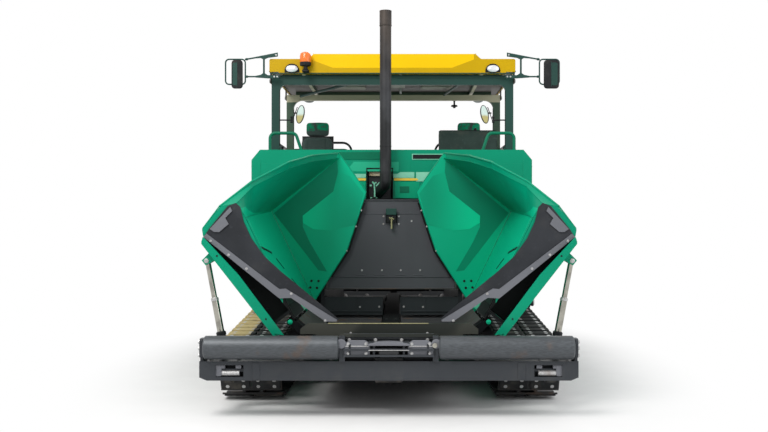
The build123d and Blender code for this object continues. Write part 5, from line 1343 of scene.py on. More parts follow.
# ---- roof ----
class PAVER_OT_roof(Operator):
    """Roof details: ridges, rim and a painted shadow line, lamps in dark arches, beacon, ceiling boxes, beams, struts
    and pivots
    """

    bl_idname = "paver.roof"
    bl_label = "Roof"

    def execute(self, context):
        (front, _), (rear, top) = BOX["roof_canopy"][:, 1:]
        # rim strips along the sides, and a painted shadow line along the front's lower edge
        rim = both(box((1.4, 1.409), (front, rear), (3.29, 3.302))
            + box((0.0, 1.4), (front - 0.004, front + 0.004), (3.268, 3.28)))
        add("roof_rim", rim, "post_paint", "roof_canopy", bevel=0.002)
        ridges = join(
            tube([(x0, front - 0.001, z0), (x0, front + 0.001, z0), (x0, rear + 0.001, z0)], 0.005, 8)
            for x0, z0 in ((-0.9, 3.495), (0.95, 3.495), (-0.96, 3.438), (1.01, 3.438)))
        lines = join(box((-0.88, 0.93), (y, y + 0.012), (top - 0.002, top + 0.003)) for y in (0.5, 1.2))
        add("roof_ridges", ridges + lines, "roof_yellow", "roof_canopy", bevel=0.0015)
        # dark arches with oval lamps
        turn = np.linspace(0, tau, 49)[:-1]
        oval = np.stack((np.cos(turn), np.sin(turn)), 1)
        hoods = np.concatenate((oval[:25] * (0.085, 0.082), [(-0.085, -0.018), (0.085, -0.018)]))
        arches = both(plate(hoods, front - 0.006, front + 0.004, "y", (1.147, 0, 3.302)))
        arches += both(plate(oval * (0.075, 0.046), front - 0.02, front, "y", (1.147, 0, 3.324)))
        add("lamp_housings", arches, "black_plastic", "roof_canopy", slot="lamp_plastic", bevel=0.003)
        ring = np.linspace(0.0, 1.0, 7)[:, None, None]
        dome = np.concatenate((oval[None] * (1 - ring) * (0.07, 0.041),
            np.sqrt(np.clip(1 - (1 - ring) ** 2, 0, 1)) * np.ones((7, 48, 1)) * -0.014), 2)
        dome = dome[:, np.r_[0:48, 0]]
        lens = np.stack((dome[..., 0] + 1.147, dome[..., 2] + front - 0.018, dome[..., 1] + 3.324), -1)
        add("roof_lamps", both(sheet(lens)), "lamp_lens", "roof_canopy", smooth=180)
        # beacon
        x, y = -0.985, -0.165
        glow = turned([(0, 0.062), (0.01, 0.0655), (0.07, 0.0655), (0.1, 0.058), (0.115, 0.04), (0.12, 0.015)],
            (x, y, 3.385), Z, 36)
        made = add("beacon_dome", glow, "beacon_amber", "roof_canopy")
        foot = turned([(0, 0.03), (0.004, 0.045), (0.02, 0.022),
            (0.05, 0.022), (0.055, 0.06), (0.085, 0.066), (0.095, 0.064)], (x, y, 3.292), Z, 32)
        arm = plate(rounded(0.075, 0.14, 0.02), 3.279, 3.292, "z", (x, -0.15, 0))
        arm += box((x - 0.02, x + 0.02), (-0.12, -0.1), (3.28, 3.33))
        work = both(plate(rounded(0.12, 0.075, 0.015), rear - 0.002, rear + 0.03, "y", (1.0, 0, 3.36)))
        add("beacon_foot", foot + arm + work, "black_plastic", "roof_canopy", slot="lamp_plastic", bevel=0.002)
        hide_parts("roof_lights")
        rear_glass = both(plate(rounded(0.104, 0.06, 0.012), rear + 0.03, rear + 0.034, "y", (1.0, 0, 3.36)))
        add("rear_work_lamps", rear_glass, "lamp_lens", "roof_canopy", bevel=0.001)
        # ceiling: pale boxes, beams and lamps
        under = 3.31
        boxes = both(plate(rounded(0.28, 0.3, 0.02), under - 0.045, under, "z", (0.42, 0.5, 0))
            + plate(rounded(0.4, 0.22, 0.02), under - 0.03, under, "z", (0.55, 1.1, 0)))
        boxes += plate(rounded(0.3, 0.3, 0.02), under - 0.035, under, "z", (0.0, 0.9, 0))
        add("ceiling_boxes", boxes, "grey_plastic", "roof_canopy", bevel=0.006)
        beams = both(box((1.0, 1.04), (front + 0.05, rear - 0.05), (under - 0.05, under))
            + box((0.08, 0.11), (front + 0.05, rear - 0.05), (under - 0.03, under)))
        beams += join(box((-1.3, 1.3), (y, y + 0.035), (under - 0.04, under)) for y in (0.25, 0.75, 1.62))
        add("ceiling_beams", beams, "hoop_paint", "roof_canopy", bevel=0.003)
        struts = bar((0.95, -0.05, 3.282), (0.657, 1.3, 3.227), 0.017, 14)
        struts += bar((-0.53, 0.25, 3.2), (-1.2, 1.3, 3.21), 0.017, 14)
        add("roof_struts", struts, "post_paint", "roof_canopy")
        lamp_rear = both(plate(oval * (0.07, 0.034), rear - 0.07, rear - 0.042, "y", (1.152, 0, 3.243)))
        add("ceiling_lamps", lamp_rear, "lamp_lens", "roof_canopy", bevel=0.004)
        knob = turned([(0, 0.02), (0.01, 0.012), (0.055, 0.012),
            (0.06, 0.04), (0.078, 0.046), (0.086, 0.02), (0.1, 0.014)], (0.826, 1.93, 3.236), -Z, 24)
        add("roof_knob", knob, "black_plastic", "roof_canopy", slot="lamp_plastic")
        # pivots and the posts' feet: each post's place along the machine and its foot's height
        posts = (0.0, 2.339), (1.4, 1.65)
        caps = cap(0.026, 0.006, 0.012, 0.02, (-1.4055, 0, 3.2), -X, 20).at([(0, 0, 0), (0, 1.4, 0)])
        add("upper_pivot_caps", both(caps), "bolt_steel", "roof_canopy")
        x = BOX["roof_pivots"][1][0]
        caps = cap(0.03, 0.006, 0.014, 0.022, (x, 0, 2.4), X, 20).at([(0, 0, 0), (0, 1.4, 0)])
        add("lower_pivot_caps", both(caps), "bolt_steel")
        feet = both(join(plate(rounded(0.16, 0.13, 0.01), z, z + 0.008, "z", (1.345, y, 0)) for y, z in posts))
        add("post_feet", feet, "post_paint", bevel=0.002)
        heads = both(bolts([(1.345 + dx, y + dy, z + 0.008) for y, z in posts
            for dx in (-0.064, 0.064) for dy in (-0.052, 0.052)], Z, 0.016, 0.008))
        add("post_foot_bolts", heads, "bolt_steel")
        # cable strips on the posts and creases of the portal
        strips = both(box((1.296, 1.3), (-0.02, 0.02), (2.45, 3.1)))
        add("post_strips", strips, "black_plastic", "roof_portal", bevel=0.001)
        strips = both(box((1.296, 1.3), (1.38, 1.42), (2.45, 3.06)))
        add("hoop_strips", strips, "black_plastic", "roof_hoop", bevel=0.001)
        crease = box((-1.298, 1.298), (-0.034, 0.02), (3.226, 3.262))
        crease += box((-1.2, 1.2), (-0.0325, -0.03), (3.152, 3.157))
        add("portal_creases", crease, "post_paint", "roof_portal", bevel=0.001)
        return {"FINISHED"}


class PAVER_OT_mirrors(Operator):
    """Mirrors: round-cornered housings with glass, looped brackets and clamps"""

    bl_idname = "paver.mirrors"
    bl_label = "Mirrors"

    def execute(self, context):
        # each housing stands in a loop of tube, held by two tapered arms and a strut
        shells, glasses, ribs = [], [], []
        for turn, inner, outer in ((-1, 1.705, 1.832), (1, 1.725, 1.898)):
            x, wide = (inner + outer) / 2, outer - inner
            shape = plate(rounded(wide, 0.325, 0.035), -0.139, -0.1095, "y", (x, 0, 3.258))
            glass = join(
                plate(rounded(wide - 0.03, tall, 0.02), -0.1098, -0.1078, "y", (x, 0, z))
                for tall, z in ((0.19, 3.31), (0.08, 3.155)))
            rib = box((x - 0.004, x + 0.004), (-0.1415, -0.138), (3.12, 3.4))
            rib += plate(rounded(wide * 0.4, 0.26, 0.02), -0.1408, -0.138, "y", (x + wide * 0.2, 0, 3.26))
            for shapes, made in ((shells, shape), (glasses, glass), (ribs, rib)):
                shapes.append(made if turn > 0 else made.mirrored())
        made = add("mirror_shells", join(shells), "black_plastic", "roof_canopy", bevel=0.008)
        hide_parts("roof_mirrors")
        add("mirror_glass", join(glasses), "mirror_glass", "roof_canopy", bevel=0.001)
        add("mirror_ribs", join(ribs), "post_paint", "roof_canopy", bevel=0.001)
        arm, rail = -0.122, 3.232
        loop = rounded(0.225, 0.285, 0.04, 6)
        loop = np.column_stack((loop[:, 0] + 1.788, np.full(len(loop), -0.124), loop[:, 1] + 3.286))
        brackets = tube(np.vstack((loop, loop[:2])), 0.0085, 10)
        brackets += bar((1.31, arm, 3.492), (1.68, arm, 3.427), 0.009, 12)
        brackets += bar((1.3, arm, rail), (1.68, arm, rail), 0.009, 12)
        brackets += bar((1.464, arm, rail), (1.464, arm, 3.46), 0.011, 12)
        upper = [(1.305, 3.506), (1.305, 3.462), (1.42, 3.446),
            (1.452, 3.43), (1.475, 3.43), (1.5, 3.444), (1.56, 3.44), (1.56, 3.456)]
        lower = [(1.29, 3.212), (1.42, 3.212), (1.56, 3.222), (1.56, 3.24),
            (1.5, 3.252), (1.475, 3.27), (1.452, 3.27), (1.42, 3.248), (1.29, 3.248)]
        brackets += plate(upper, -0.13, -0.114, "y") + plate(lower, -0.13, -0.114, "y")
        brackets += join(rod(0.014, -0.012, 0.012, (x, arm, z), X, 16) for x, z in ((1.66, 3.43), (1.66, rail)))
        add("mirror_brackets", both(brackets), "post_paint", "roof_canopy")
        heads = both(bolts([(1.325, -0.13, 3.478), (1.31, -0.13, 3.23), (1.345, -0.13, 3.23)], -Y, 0.014, 0.007))
        add("mirror_bolts", heads, "bolt_steel", "roof_canopy")
        # slender inner mirrors, leaning in at the top, on rods clamped beside the posts
        turn = np.linspace(0, tau, 49)[:-1]
        lean = radians(-11)
        matrix = np.array([(cos(lean), -sin(lean)), (sin(lean), cos(lean))])

        def slim(wide, tall):
            return np.stack((np.cos(turn) * wide, np.sin(turn) * tall), 1) @ matrix

        rod_y, middle = -0.014, (1.06, 0, 2.815)
        housing = plate(slim(0.047, 0.108), -0.022, -0.006, "y", middle)
        housing += bar((1.095, rod_y, 2.9), (1.155, rod_y, 2.73), 0.005, 8)
        housing += bar((1.09, rod_y, 2.83), (1.14, rod_y, 2.83), 0.009, 10)
        housing += join(rod(0.014, -0.014, 0.014, (1.16, rod_y, z), X, 12) for z in (2.73, 2.78))
        housing += bar((1.16, rod_y, 2.715), (1.16, rod_y, 2.79), 0.008, 10)
        housing += bar((1.16, -0.006, 2.75), (1.3, -0.006, 2.75), 0.008, 10)
        made = add("inner_mirrors", both(housing), "black_plastic", "roof_portal", bevel=0.002)
        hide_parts("portal_mirrors")
        glass = both(plate(slim(0.036, 0.1), -0.0245, -0.021, "y", middle)
            + plate(slim(0.036, 0.1), -0.007, -0.0045, "y", middle))
        add("inner_mirror_glass", glass, "inner_glass", "roof_portal")
        return {"FINISHED"}


# ---- cylinders ----
def beside(start, along, side):
    """Gives places by their distance along a cylinder's line and out from it to one side."""
    return lambda distance, out=0.0: start + along * distance + side * out


class PAVER_OT_cylinders(Operator):
    """Cylinder details: gland nuts, end collars, ports with steel pipes, pin caps and eyes"""

    bl_idname = "paver.cylinders"
    bl_label = "Cylinders"

    def execute(self, context):
        start = np.array([-1.33, -2.985, 0.3])
        eye = HINGE + 0.82 * OUT - 0.235 * UP + (0, -2.985, 0)
        along = unit(eye - start)
        spot = beside(start, along, np.cross(along, Y))
        gland = turned([(0, 0.0355), (0.002, 0.0405), (0.028, 0.0405), (0.03, 0.036), (0.036, 0.031)],
            spot(0.33), along, 32)
        gland += turned([(0, 0.0355), (0.002, 0.039), (0.018, 0.039), (0.02, 0.0355)], spot(0.052), along, 32)
        port = bar(spot(0.09, 0.02), spot(0.09, 0.06), 0.014, 14)
        port += bar(spot(0.31, 0.02), spot(0.31, 0.055), 0.012, 14)
        line = np.array([spot(*each) for each in ((0.31, 0.055),
            (0.3, 0.064), (0.28, 0.066), (0.2, 0.066), (0.16, 0.066))])
        pair("wing_barrel_gland", gland + port + tube(line, 0.006, 8), "black_paint", "wing_cylinder_barrel_{}")
        collar = turned([(0, 0.029), (0.001, 0.0315), (0.02, 0.0315), (0.022, 0.029), (0.028, 0.024)],
            spot(0.622), along, 32)
        pair("wing_sleeve_collar", collar, "bolt_steel", "wing_cylinder_sleeve_{}")
        cheeks = rod(0.0215, -0.03, 0.03, eye, Y, 28)
        nipple = bar(eye - along * 0.03, eye - along * 0.023, 0.0225, 20, 0.001)
        pair("wing_rod_eye", cheeks + nipple, "black_paint", "wing_cylinder_rod_{}")
        caps = join(cap(0.024, 0.004, 0.008, 0.018, (-1.33, y, 0.3), (0, way, 0), 20)
                    for y, way in ((-3.03, -1), (-2.94, 1)))
        add("cylinder_base_caps", both(caps), "bolt_steel")
        pins = join(cap(0.02, 0.003, 0.006, 0.014, eye + (0, way * 0.054, 0), (0, way, 0), 20) for way in (-1, 1))
        pair("cylinder_eye_caps", pins, "bolt_steel", "hopper_wing_{}")
        # screed lift cylinders
        top, eye = np.array([-1.29, *PIVOT["lift_barrel_swing_left"][1:]]), np.array([-1.29, 2.3, 0.56])
        along = unit(eye - top)
        spot = beside(top, along, np.cross(X, along))
        gland = turned([(0, 0.045), (0.002, 0.051), (0.036, 0.051), (0.038, 0.045), (0.044, 0.036)],
            spot(0.478), along, 36)
        gland += turned([(0, 0.045), (0.002, 0.049), (0.02, 0.049), (0.022, 0.045)], spot(0.08), along, 36)
        gland += bar(spot(0.12), spot(0.12, 0.066), 0.015, 14) + bar(spot(0.45), spot(0.45, 0.062), 0.013, 14)
        line = np.array([spot(*each) for each in ((0.45, 0.06),
            (0.43, 0.074), (0.4, 0.077), (0.3, 0.077), (0.22, 0.077), (0.18, 0.074), (0.16, 0.05))])
        pair("lift_barrel_gland", gland + tube(line, 0.007, 8), "black_paint", "lift_cylinder_barrel_{}")
        caps = join(cap(0.028, 0.005, 0.01, 0.02, (-1.29 + dx, top[1], top[2]), (way, 0, 0), 20)
                    for dx, way in ((-0.046, -1), (0.046, 1)))
        add("lift_pin_caps", both(caps), "bolt_steel")
        return {"FINISHED"}


# ---- seats ----
CORNER = 0.22  # a cushion's corner radius over its narrower side
STITCH = 0.009  # how far a seam draws the cloth in on each side
INSET = 0.006  # how far the piping lies inside the cushion's edge
SETTLING = 20  # frames that the cloth takes to blow up


def cushion(context, name, size, middle, lean, puff, seams=()):
    """A sewn cushion: a round-cornered block blown up as cloth, then drawn in along its seams.

    Each seam is (axis, place, depth): points sink towards the middle by the depth times a bell curve of
    their distance, exp(-(distance / STITCH) ** 2).
    """
    width, deep, tall = size
    outline = rounded(width, deep, min(width, deep) * CORNER, 6)
    block = plate(outline, -tall / 2, tall / 2, "z")
    piece = add(name, block, "seat_cloth", None, smooth=180)
    grain = piece.modifiers.new("grain", "REMESH")
    grain.mode, grain.voxel_size = "VOXEL", context.scene.paver_sizes.cushion_voxel
    dg = context.evaluated_depsgraph_get()
    fine = bpy.data.meshes.new_from_object(piece.evaluated_get(dg))
    piece.modifiers.clear()
    old, piece.data = piece.data, fine
    bpy.data.meshes.remove(old)
    count = len(fine.vertices)
    rest = np.zeros(count * 3)
    fine.vertices.foreach_get("co", rest)
    rest = rest.reshape(-1, 3)
    cloth = piece.modifiers.new("cloth", "CLOTH")
    cloth.settings.use_pressure = True
    cloth.settings.uniform_pressure_force = 4
    cloth.settings.effector_weights.gravity = 0
    cloth.settings.tension_stiffness = cloth.settings.compression_stiffness = 25
    cloth.settings.shear_stiffness = 10
    cloth.settings.bending_stiffness = 4
    cloth.point_cache.frame_start, cloth.point_cache.frame_end = 1, SETTLING
    for step in range(1, SETTLING + 1):
        context.scene.frame_set(step)
    blown = bpy.data.meshes.new_from_object(piece.evaluated_get(context.evaluated_depsgraph_get()))
    points = np.zeros(count * 3)
    blown.vertices.foreach_get("co", points)
    shift = points.reshape(-1, 3) - rest
    bpy.data.meshes.remove(blown)
    piece.modifiers.clear()
    context.scene.frame_set(1)
    far = np.linalg.norm(shift, axis=1)[:, None]
    points = rest + shift * np.minimum(1, puff / np.maximum(far, 1e-9))
    face = np.clip(np.abs(points[:, 2]) / (tall / 2), 0, 1)
    for axis, place, depth in seams:
        near = np.exp(-((points[:, axis] - place) / STITCH) ** 2)
        points[:, 2] -= np.sign(points[:, 2]) * depth * near * face
    turn = np.array(Matrix.Rotation(radians(lean), 3, "X"))
    points = points @ turn.T + np.asarray(middle, float)
    fine.vertices.foreach_set("co", points.astype(np.float32).ravel())
    fine.materials.clear()
    fine.materials.append(finish("seat_cloth"))
    fine.shade_smooth()
    fine.update()
    finer = piece.modifiers.new("finer", "SUBSURF")
    finer.levels = finer.render_levels = 1
    return piece


def piping(size, middle, lean, lift):
    """A cord sewn round a cushion's edge: the cushion's outline a little inside, turned with the cushion."""
    outline = rounded(size[0] - 2 * INSET, size[1] - 2 * INSET, min(size[:2]) * CORNER, 8)
    ring = np.column_stack((outline, np.full(len(outline), lift)))
    turn = radians(lean)
    matrix = np.array([(1, 0, 0), (0, cos(turn), -sin(turn)), (0, sin(turn), cos(turn))])
    path = np.vstack((ring, ring[:2])) @ matrix.T + np.asarray(middle, float)
    return tube(path, 0.005, 8)


class PAVER_OT_seats(Operator):
    """Seats: blown and sewn cushions on moulded shells, bellows, armrests with a stick and belt buckle"""

    bl_idname = "paver.seats"
    bl_label = "Seats"

    def execute(self, context):
        floor = BOX["seat_left"][0][2]
        x, y = PIVOT["seat_swivel_left"][:2]
        cushions = (("cushion", (0.43, 0.42, 0.09), (x, y, 2.055), 3, 0.018,
            ((0, -0.12, 0.007), (0, 0.12, 0.007), (1, 0.02, 0.006))),
            ("backrest", (0.4, 0.52, 0.075), (x, y + 0.19, 2.415), 86, 0.016,
            ((0, -0.11, 0.007), (0, 0.11, 0.007), (1, 0.1, 0.006), (1, -0.06, 0.006))),
            ("headrest", (0.285, 0.165, 0.07), (x, y + 0.22, 2.765), 86, 0.01, ((1, 0.0, 0.004), (0, 0.0, 0.004))),)
        for part, size, middle, lean, puff, seams in cushions:
            left = cushion(context, f"seat_{part}_left", size, middle, lean, puff, seams)
            right = bpy.data.objects.new(f"seat_{part}_right", left.data.copy())
            context.scene.collection.objects.link(right)
            points = np.zeros(len(right.data.vertices) * 3, np.float32)
            right.data.vertices.foreach_get("co", points)
            right.data.vertices.foreach_set("co", (points.reshape(-1, 3) * (-1, 1, 1)).astype(np.float32).ravel())
            right.data.flip_normals()
            finer = right.modifiers.new("finer", "SUBSURF")
            finer.levels = finer.render_levels = 1
            for piece, side in ((left, "left"), (right, "right")):
                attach(piece, f"seat_{side}")
        edges = join(piping(size, middle, lean, size[2] * 0.36) for _, size, middle, lean, _, _ in cushions)
        pair("seat_piping", edges, "seat_vinyl", "seat_{}")
        # shells and frame
        shell = plate([(y - 0.225, 1.985), (y + 0.16, 1.985), (y + 0.24, 2.03), (y + 0.268, 2.1), (y + 0.268, 2.6),
            (y + 0.262, 2.68), (y + 0.238, 2.68), (y + 0.235, 2.1),
            (y + 0.2, 2.035), (y + 0.14, 2.012), (y - 0.225, 2.012)], x - 0.2, x + 0.2, "x")
        shell += join(plate([(y - 0.2, 2.0), (y + 0.2, 2.0), (y + 0.24, 2.2), (y + 0.2, 2.16), (y - 0.2, 2.06)],
            x0, x0 + 0.014, "x") for x0 in (x - 0.214, x + 0.2))
        shell += join(bar((x0, y + 0.245, 2.64), (x0, y + 0.245, 2.75), 0.008, 12) for x0 in (x - 0.06, x + 0.06))
        shell += plate(rounded(0.25, 0.12, 0.03), y + 0.243, y + 0.256, "y", (x, 0, 2.77))
        for side, turn in SIDES:
            made = add(f"seat_shell_{side}", shell if turn < 0 else shell.mirrored(),
                "seat_vinyl", f"seat_{side}", bevel=0.006)
            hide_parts(f"seat_{side}")
        fold_count = 9
        heights = np.linspace(floor + 0.06, 1.985, 2 * fold_count + 1)
        folds = [(z - floor, 0.085 if k % 2 else 0.068) for k, z in enumerate(heights)]
        base = turned([(0, 0.09), (0.012, 0.09), (0.02, 0.07), (0.058, 0.066)] + folds, (x, y, floor), Z, 32)
        pair("seat_bellows", base, "hose_rubber", "seat_{}")
        arms = join(plate(rounded(0.36, 0.05, 0.02), x0 - 0.024, x0 + 0.024, "x", (0, y + 0.06, 2.288))
            + bar((x0, y + 0.21, 2.1), (x0, y + 0.21, 2.28), 0.014, 14) for x0 in (x - 0.225, x + 0.225))
        arms += join(cap(0.022, 0.02, 0.024, 0.012, (x + way * 0.25, y + 0.21, 2.288), (way, 0, 0), 16)
            for way in (-1, 1))
        stick = turned([(0, 0.014), (0.05, 0.01), (0.055, 0.019), (0.09, 0.021), (0.1, 0.012)],
            (x + 0.225, y - 0.07, 2.3), Z, 16)
        pair("seat_arms", arms + stick, "black_plastic", "seat_{}", bevel=0.004)
        belt = plate(rounded(0.05, 0.09, 0.01), x - 0.245, x - 0.215, "x", (0, y + 0.15, 2.04))
        pair("seat_buckle", belt, "red_plastic", "seat_{}", bevel=0.003)
        return {"FINISHED"}


# ---- screed, tow arms and augers ----
class PAVER_OT_augers(Operator):
    """Augers: a helicoid flight round each shaft, with bearings and drive box"""

    bl_idname = "paver.augers"
    bl_label = "Augers"

    def execute(self, context):
        pitch = context.scene.paver_sizes.auger_pitch
        centre = PIVOT["auger_spin_right"]
        reach = BOX["auger_right"][1][0]
        outer, inner, start, end = 0.1745, 0.036, 0.07, reach - 0.03
        # a point goes out along the radius and round the shaft as it goes along it
        travel = np.linspace(start, end, 190)[:, None]
        radius = np.linspace(inner, outer, 4)[None]
        turn = travel / pitch * tau
        flight = np.stack(np.broadcast_arrays(travel, centre[1] + radius * np.cos(turn),
            centre[2] + radius * np.sin(turn)), -1)
        flight = sheet(flight)
        shaft = turned([(0, 0.04), (reach - 0.0457, 0.04)], (0.0454, centre[1], centre[2]), X, 28)
        shaft += join(rod(0.052, 0, 0.03, (x, centre[1], centre[2]), X, 28) for x in (0.06, 0.61, reach - 0.05))
        for side, way in SIDES:
            add(f"auger_flight_{side}", flight if way > 0 else flight.mirrored(),
                "slat_steel", f"auger_{side}", thick=0.012, smooth=60)
            made = add(f"auger_shaft_{side}", shaft if way > 0 else shaft.mirrored(), "slat_steel", f"auger_{side}")
            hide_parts(f"auger_{side}")
        gearbox = plate(rounded(0.15, 0.3, 0.03), -0.042, 0.042, "x", (0, centre[1], 0.49))
        gearbox += join(
            box((-0.04, 0.04), (centre[1] - 0.056, centre[1] - 0.048), (z, z + 0.01)) for z in (0.6, 0.7, 0.8))
        ends = both(plate(rounded(0.11, 0.13, 0.03), 1.207, 1.233, "x", (0, centre[1], centre[2])))
        add("auger_gearbox", gearbox + ends, "chassis_paint", bevel=0.005)
        spots = [(x, centre[1] - 0.04, z) for x in (-0.9, -0.5, 0.5, 0.9) for z in (0.65, 0.68)]
        heads = bolts(spots, -Y, 0.02, 0.01)
        heads += both(bolts([(1.233, centre[1] + 0.036 * a, centre[2] + 0.046 * b)
            for a in (-1, 1) for b in (-1, 1)], X, 0.018, 0.01))
        add("auger_bolts", heads, "bolt_steel")
        return {"FINISHED"}


class PAVER_OT_screed(Operator):
    """Screed details: covers, walkway, end gates, guides, tow-arm plates, control boxes and handles"""

    bl_idname = "paver.screed"
    bl_label = "Screed"

    def execute(self, context):
        lids = join(plate(rounded(0.56, 0.28, 0.02), 0.6, 0.607, "z", (x, 2.625, 0))
            for x in (-0.94, -0.32, 0.32, 0.94))
        lids += join(box((x - 0.05, x + 0.05), (2.5, 2.515), (0.607, 0.617)) for x in (-0.94, -0.32, 0.32, 0.94))
        add("screed_lids", lids, "black_paint", "screed", bevel=0.003)
        heads = bolts([(x + dx, y, 0.607) for x in (-0.94, -0.32, 0.32, 0.94)
            for dx in (-0.24, 0.24) for y in (2.52, 2.73)], Z, 0.02, 0.009)
        add("screed_bolts", heads, "bolt_steel", "screed")
        sole = box((-1.27, 1.27), (2.42, 2.849), (0.0005, 0.03)) + box((-1.27, 1.27), (2.349, 2.353), (0.045, 0.1))
        add("screed_sole", sole, "screed_plate", "screed", bevel=0.002)
        ribs = join(box((x - 0.008, x + 0.008), (2.337, 2.352), (0.06, 0.37)) for x in np.linspace(-1.2, 1.2, 9))
        ribs += box((-1.27, 1.27), (2.338, 2.351), (0.2, 0.215))
        add("screed_ribs", ribs, "beam_paint", "screed", bevel=0.002)
        tubes = both(join(bar((1.275, y, 0.34), (1.4395, y, 0.34), 0.0451, 32) for y in (2.95, 3.11)))
        add("guide_tubes", tubes, "chrome", "screed")
        collars = join(rod(0.056, -0.02, 0.02, (0, y, 0.34), X, 32) for y in (2.95, 3.11))
        add("guide_collars", collars, "beam_paint", "screed")
        # extensions
        tread = box((-1.46, -0.05), (3.2, 3.398), (0.23, 0.2345))
        pair("walkway_tread", tread, "deck_plate", "screed_extension_{}", bevel=0.001)
        sides = box((-1.46, -0.05), (3.391, 3.3995), (0.2, 0.25))
        sides += join(plate([(3.19, 0.05), (3.36, 0.2), (3.19, 0.2)], x - 0.006, x + 0.006, "x")
            for x in (-1.4, -0.95, -0.5, -0.1))
        sides += box((-1.46, -0.45), (2.9, 3.17), (0.229, 0.236))
        pair("walkway_frame", sides, "beam_paint", "screed_extension_{}", bevel=0.002)
        sole = box((-1.469, -0.041), (2.9, 3.188), (0.0005, 0.028))
        pair("extension_sole", sole, "screed_plate", "screed_extension_{}", bevel=0.002)
        gate = box((-1.507, -1.499), (2.4, 3.22), (0.03, 0.06))
        gate += join(box((-1.508, -1.499), (y - 0.015, y + 0.015), (0.06, 0.4)) for y in (2.5, 2.85, 3.18))
        for y in (2.55, 3.05):
            gate += bar((-1.485, y, 0.41), (-1.485, y, 0.52), 0.012, 14)
            gate += turned([(0, 0.012), (0.004, 0.05), (0.012, 0.052), (0.016, 0.012)], (-1.485, y, 0.52), Z, 24)
        pair("end_gate_ribs", gate, "roof_yellow", "screed_extension_{}", bevel=0.002)
        heads = bolts(grid(-1.5075, (2.5, 2.85, 3.18), (0.1, 0.3)), -X, 0.022, 0.01)
        heads += bolts(grid(np.linspace(-1.4, -0.55, 6), 3.04, 0.236), Z, 0.02, 0.009)
        pair("extension_bolts", heads, "bolt_steel", "screed_extension_{}")
        # control boxes on their stands
        stand = bar((-1.3, 3.3, 0.233), (-1.3, 3.3, 0.95), 0.018, 16)
        stand += plate(rounded(0.3, 0.14, 0.02), -0.05, 0.05, plane(
            X, unit((0, 0.5, 0.85)), unit((0, 0.85, -0.5))), (-1.3, 3.27, 1.0))
        pair("screed_stand", stand, "black_paint", "screed_extension_{}", bevel=0.006)
        keys = join(turned([(0, 0.01), (0.008, 0.009)], (-1.3 + x, 3.27 + 0.0425 + 0.012 * r,
            1.0 - 0.025 + 0.04 * r), (0, 0.85, -0.5), 12) for x in (-0.11, -0.07, -0.03, 0.01, 0.05)
            for r in (-0.4, 0.4))
        pair("screed_keys", keys, "grey_plastic", "screed_extension_{}")
        rail = tube(np.vstack(([(-1.42, 3.38, 0.234)], [(-1.42, 3.38, 0.8)],
            arc((-1.36, 3.38, 0.8), 0.06, 180, 90, "x", "z", 6),
            arc((-0.98, 3.38, 0.8), 0.06, 90, 0, "x", "z", 6), [(-0.92, 3.38, 0.234)])), 0.014, 10)
        pair("walkway_rail", rail, "roof_yellow", "screed_extension_{}")
        # tow arms
        strip = join(plate([(y0, z0 - 0.012), (y1, z1 - 0.012), (y1, z1 + 0.012), (y0, z0 + 0.012)], -1.437,
            -1.4295, "x") for (y0, z0), (y1, z1) in (((-1.0, 0.725), (1.5, 0.93)),
            ((1.5, 0.93), (1.72, 0.93)), ((-1.0, 0.832), (1.5, 1.108)), ((1.5, 1.108), (1.75, 1.108))))
        strip += plate(rounded(0.34, 0.13, 0.02), -1.44, -1.4295, "x", (0, 2.46, 0.555))
        strip += plate(rounded(0.16, 0.11, 0.02), -1.44, -1.4295, "x", (0, -1.02, 0.775))
        add("tow_arm_plates", both(strip), "green_enamel", "screed", bevel=0.002)
        heads = both(bolts([(-1.44, y, z) for y in (2.34, 2.42, 2.5, 2.58) for z in (0.52, 0.59)]
            + [(-1.44, -1.02 + a, 0.775 + b) for a in (-0.05, 0.05) for b in (-0.03, 0.03)], -X, 0.026, 0.012))
        add("tow_arm_bolts", heads, "bolt_steel", "screed")
        caps = both(cap(0.045, 0.006, 0.014, 0.034, (-1.435, -1.25, 0.76), -X, 24))
        caps += both(rod(0.047, 0, 0.014, (-1.39, -1.25, 0.98), Z, 28))
        add("tow_point_caps", caps, "bolt_steel")
        return {"FINISHED"}


# ---- frame and lower body ----
class PAVER_OT_frame_details(Operator):
    """Frame details: cross bolts, floor liners, covers of the track frames and scrapers"""

    bl_idname = "paver.frame_details"
    bl_label = "Frame"

    def execute(self, context):
        heads = both(bolts(grid(0.7205, (-2.6, -1.7, -0.9, 0.3, 1.0), (0.44, 0.56)), X, 0.026, 0.012))
        heads += both(bolts(grid((0.685, 0.715), -3.05, (0.38, 0.52)), -Y, 0.02, 0.009))
        heads += both(bolts([(1.3455, y, z) for y, z in ((-2.1, 0.3),
            (-1.5, 0.3), (-0.35, 0.3), (0.3, 0.3), (0.9, 0.3), (0.7, 0.45), (-1.1, 0.47))], X, 0.026, 0.012))
        add("frame_bolts", heads, "bolt_steel")
        liners = both(plate([(0.612, 0.6125), (0.773, 0.7415), (0.7655, 0.7508), (0.6045, 0.6218)],
            -2.9, -1.4, "y", (-0.0035, 0, 0.0035)))
        add("floor_liners", liners, "slat_steel", bevel=0.001)
        covers = both(plate(rounded(0.5, 0.24, 0.03), 1.3452, 1.351, "x", (0, -0.7, 0.28)))
        covers += both(join(box((1.3455, 1.353), (y, y + 0.014), (0.16, 0.4)) for y in (-1.9, -1.3, -0.1, 0.5)))
        add("track_frame_covers", covers, "chassis_paint", bevel=0.003)
        front = both(box((0.73, 0.93), (-3.045, -3.02), (0.41, 0.43))
            + box((0.725, 0.755), (-3.0, -2.92), (0.4, 0.56)))
        add("front_scrapers", front, "black_paint", bevel=0.003)
        return {"FINISHED"}


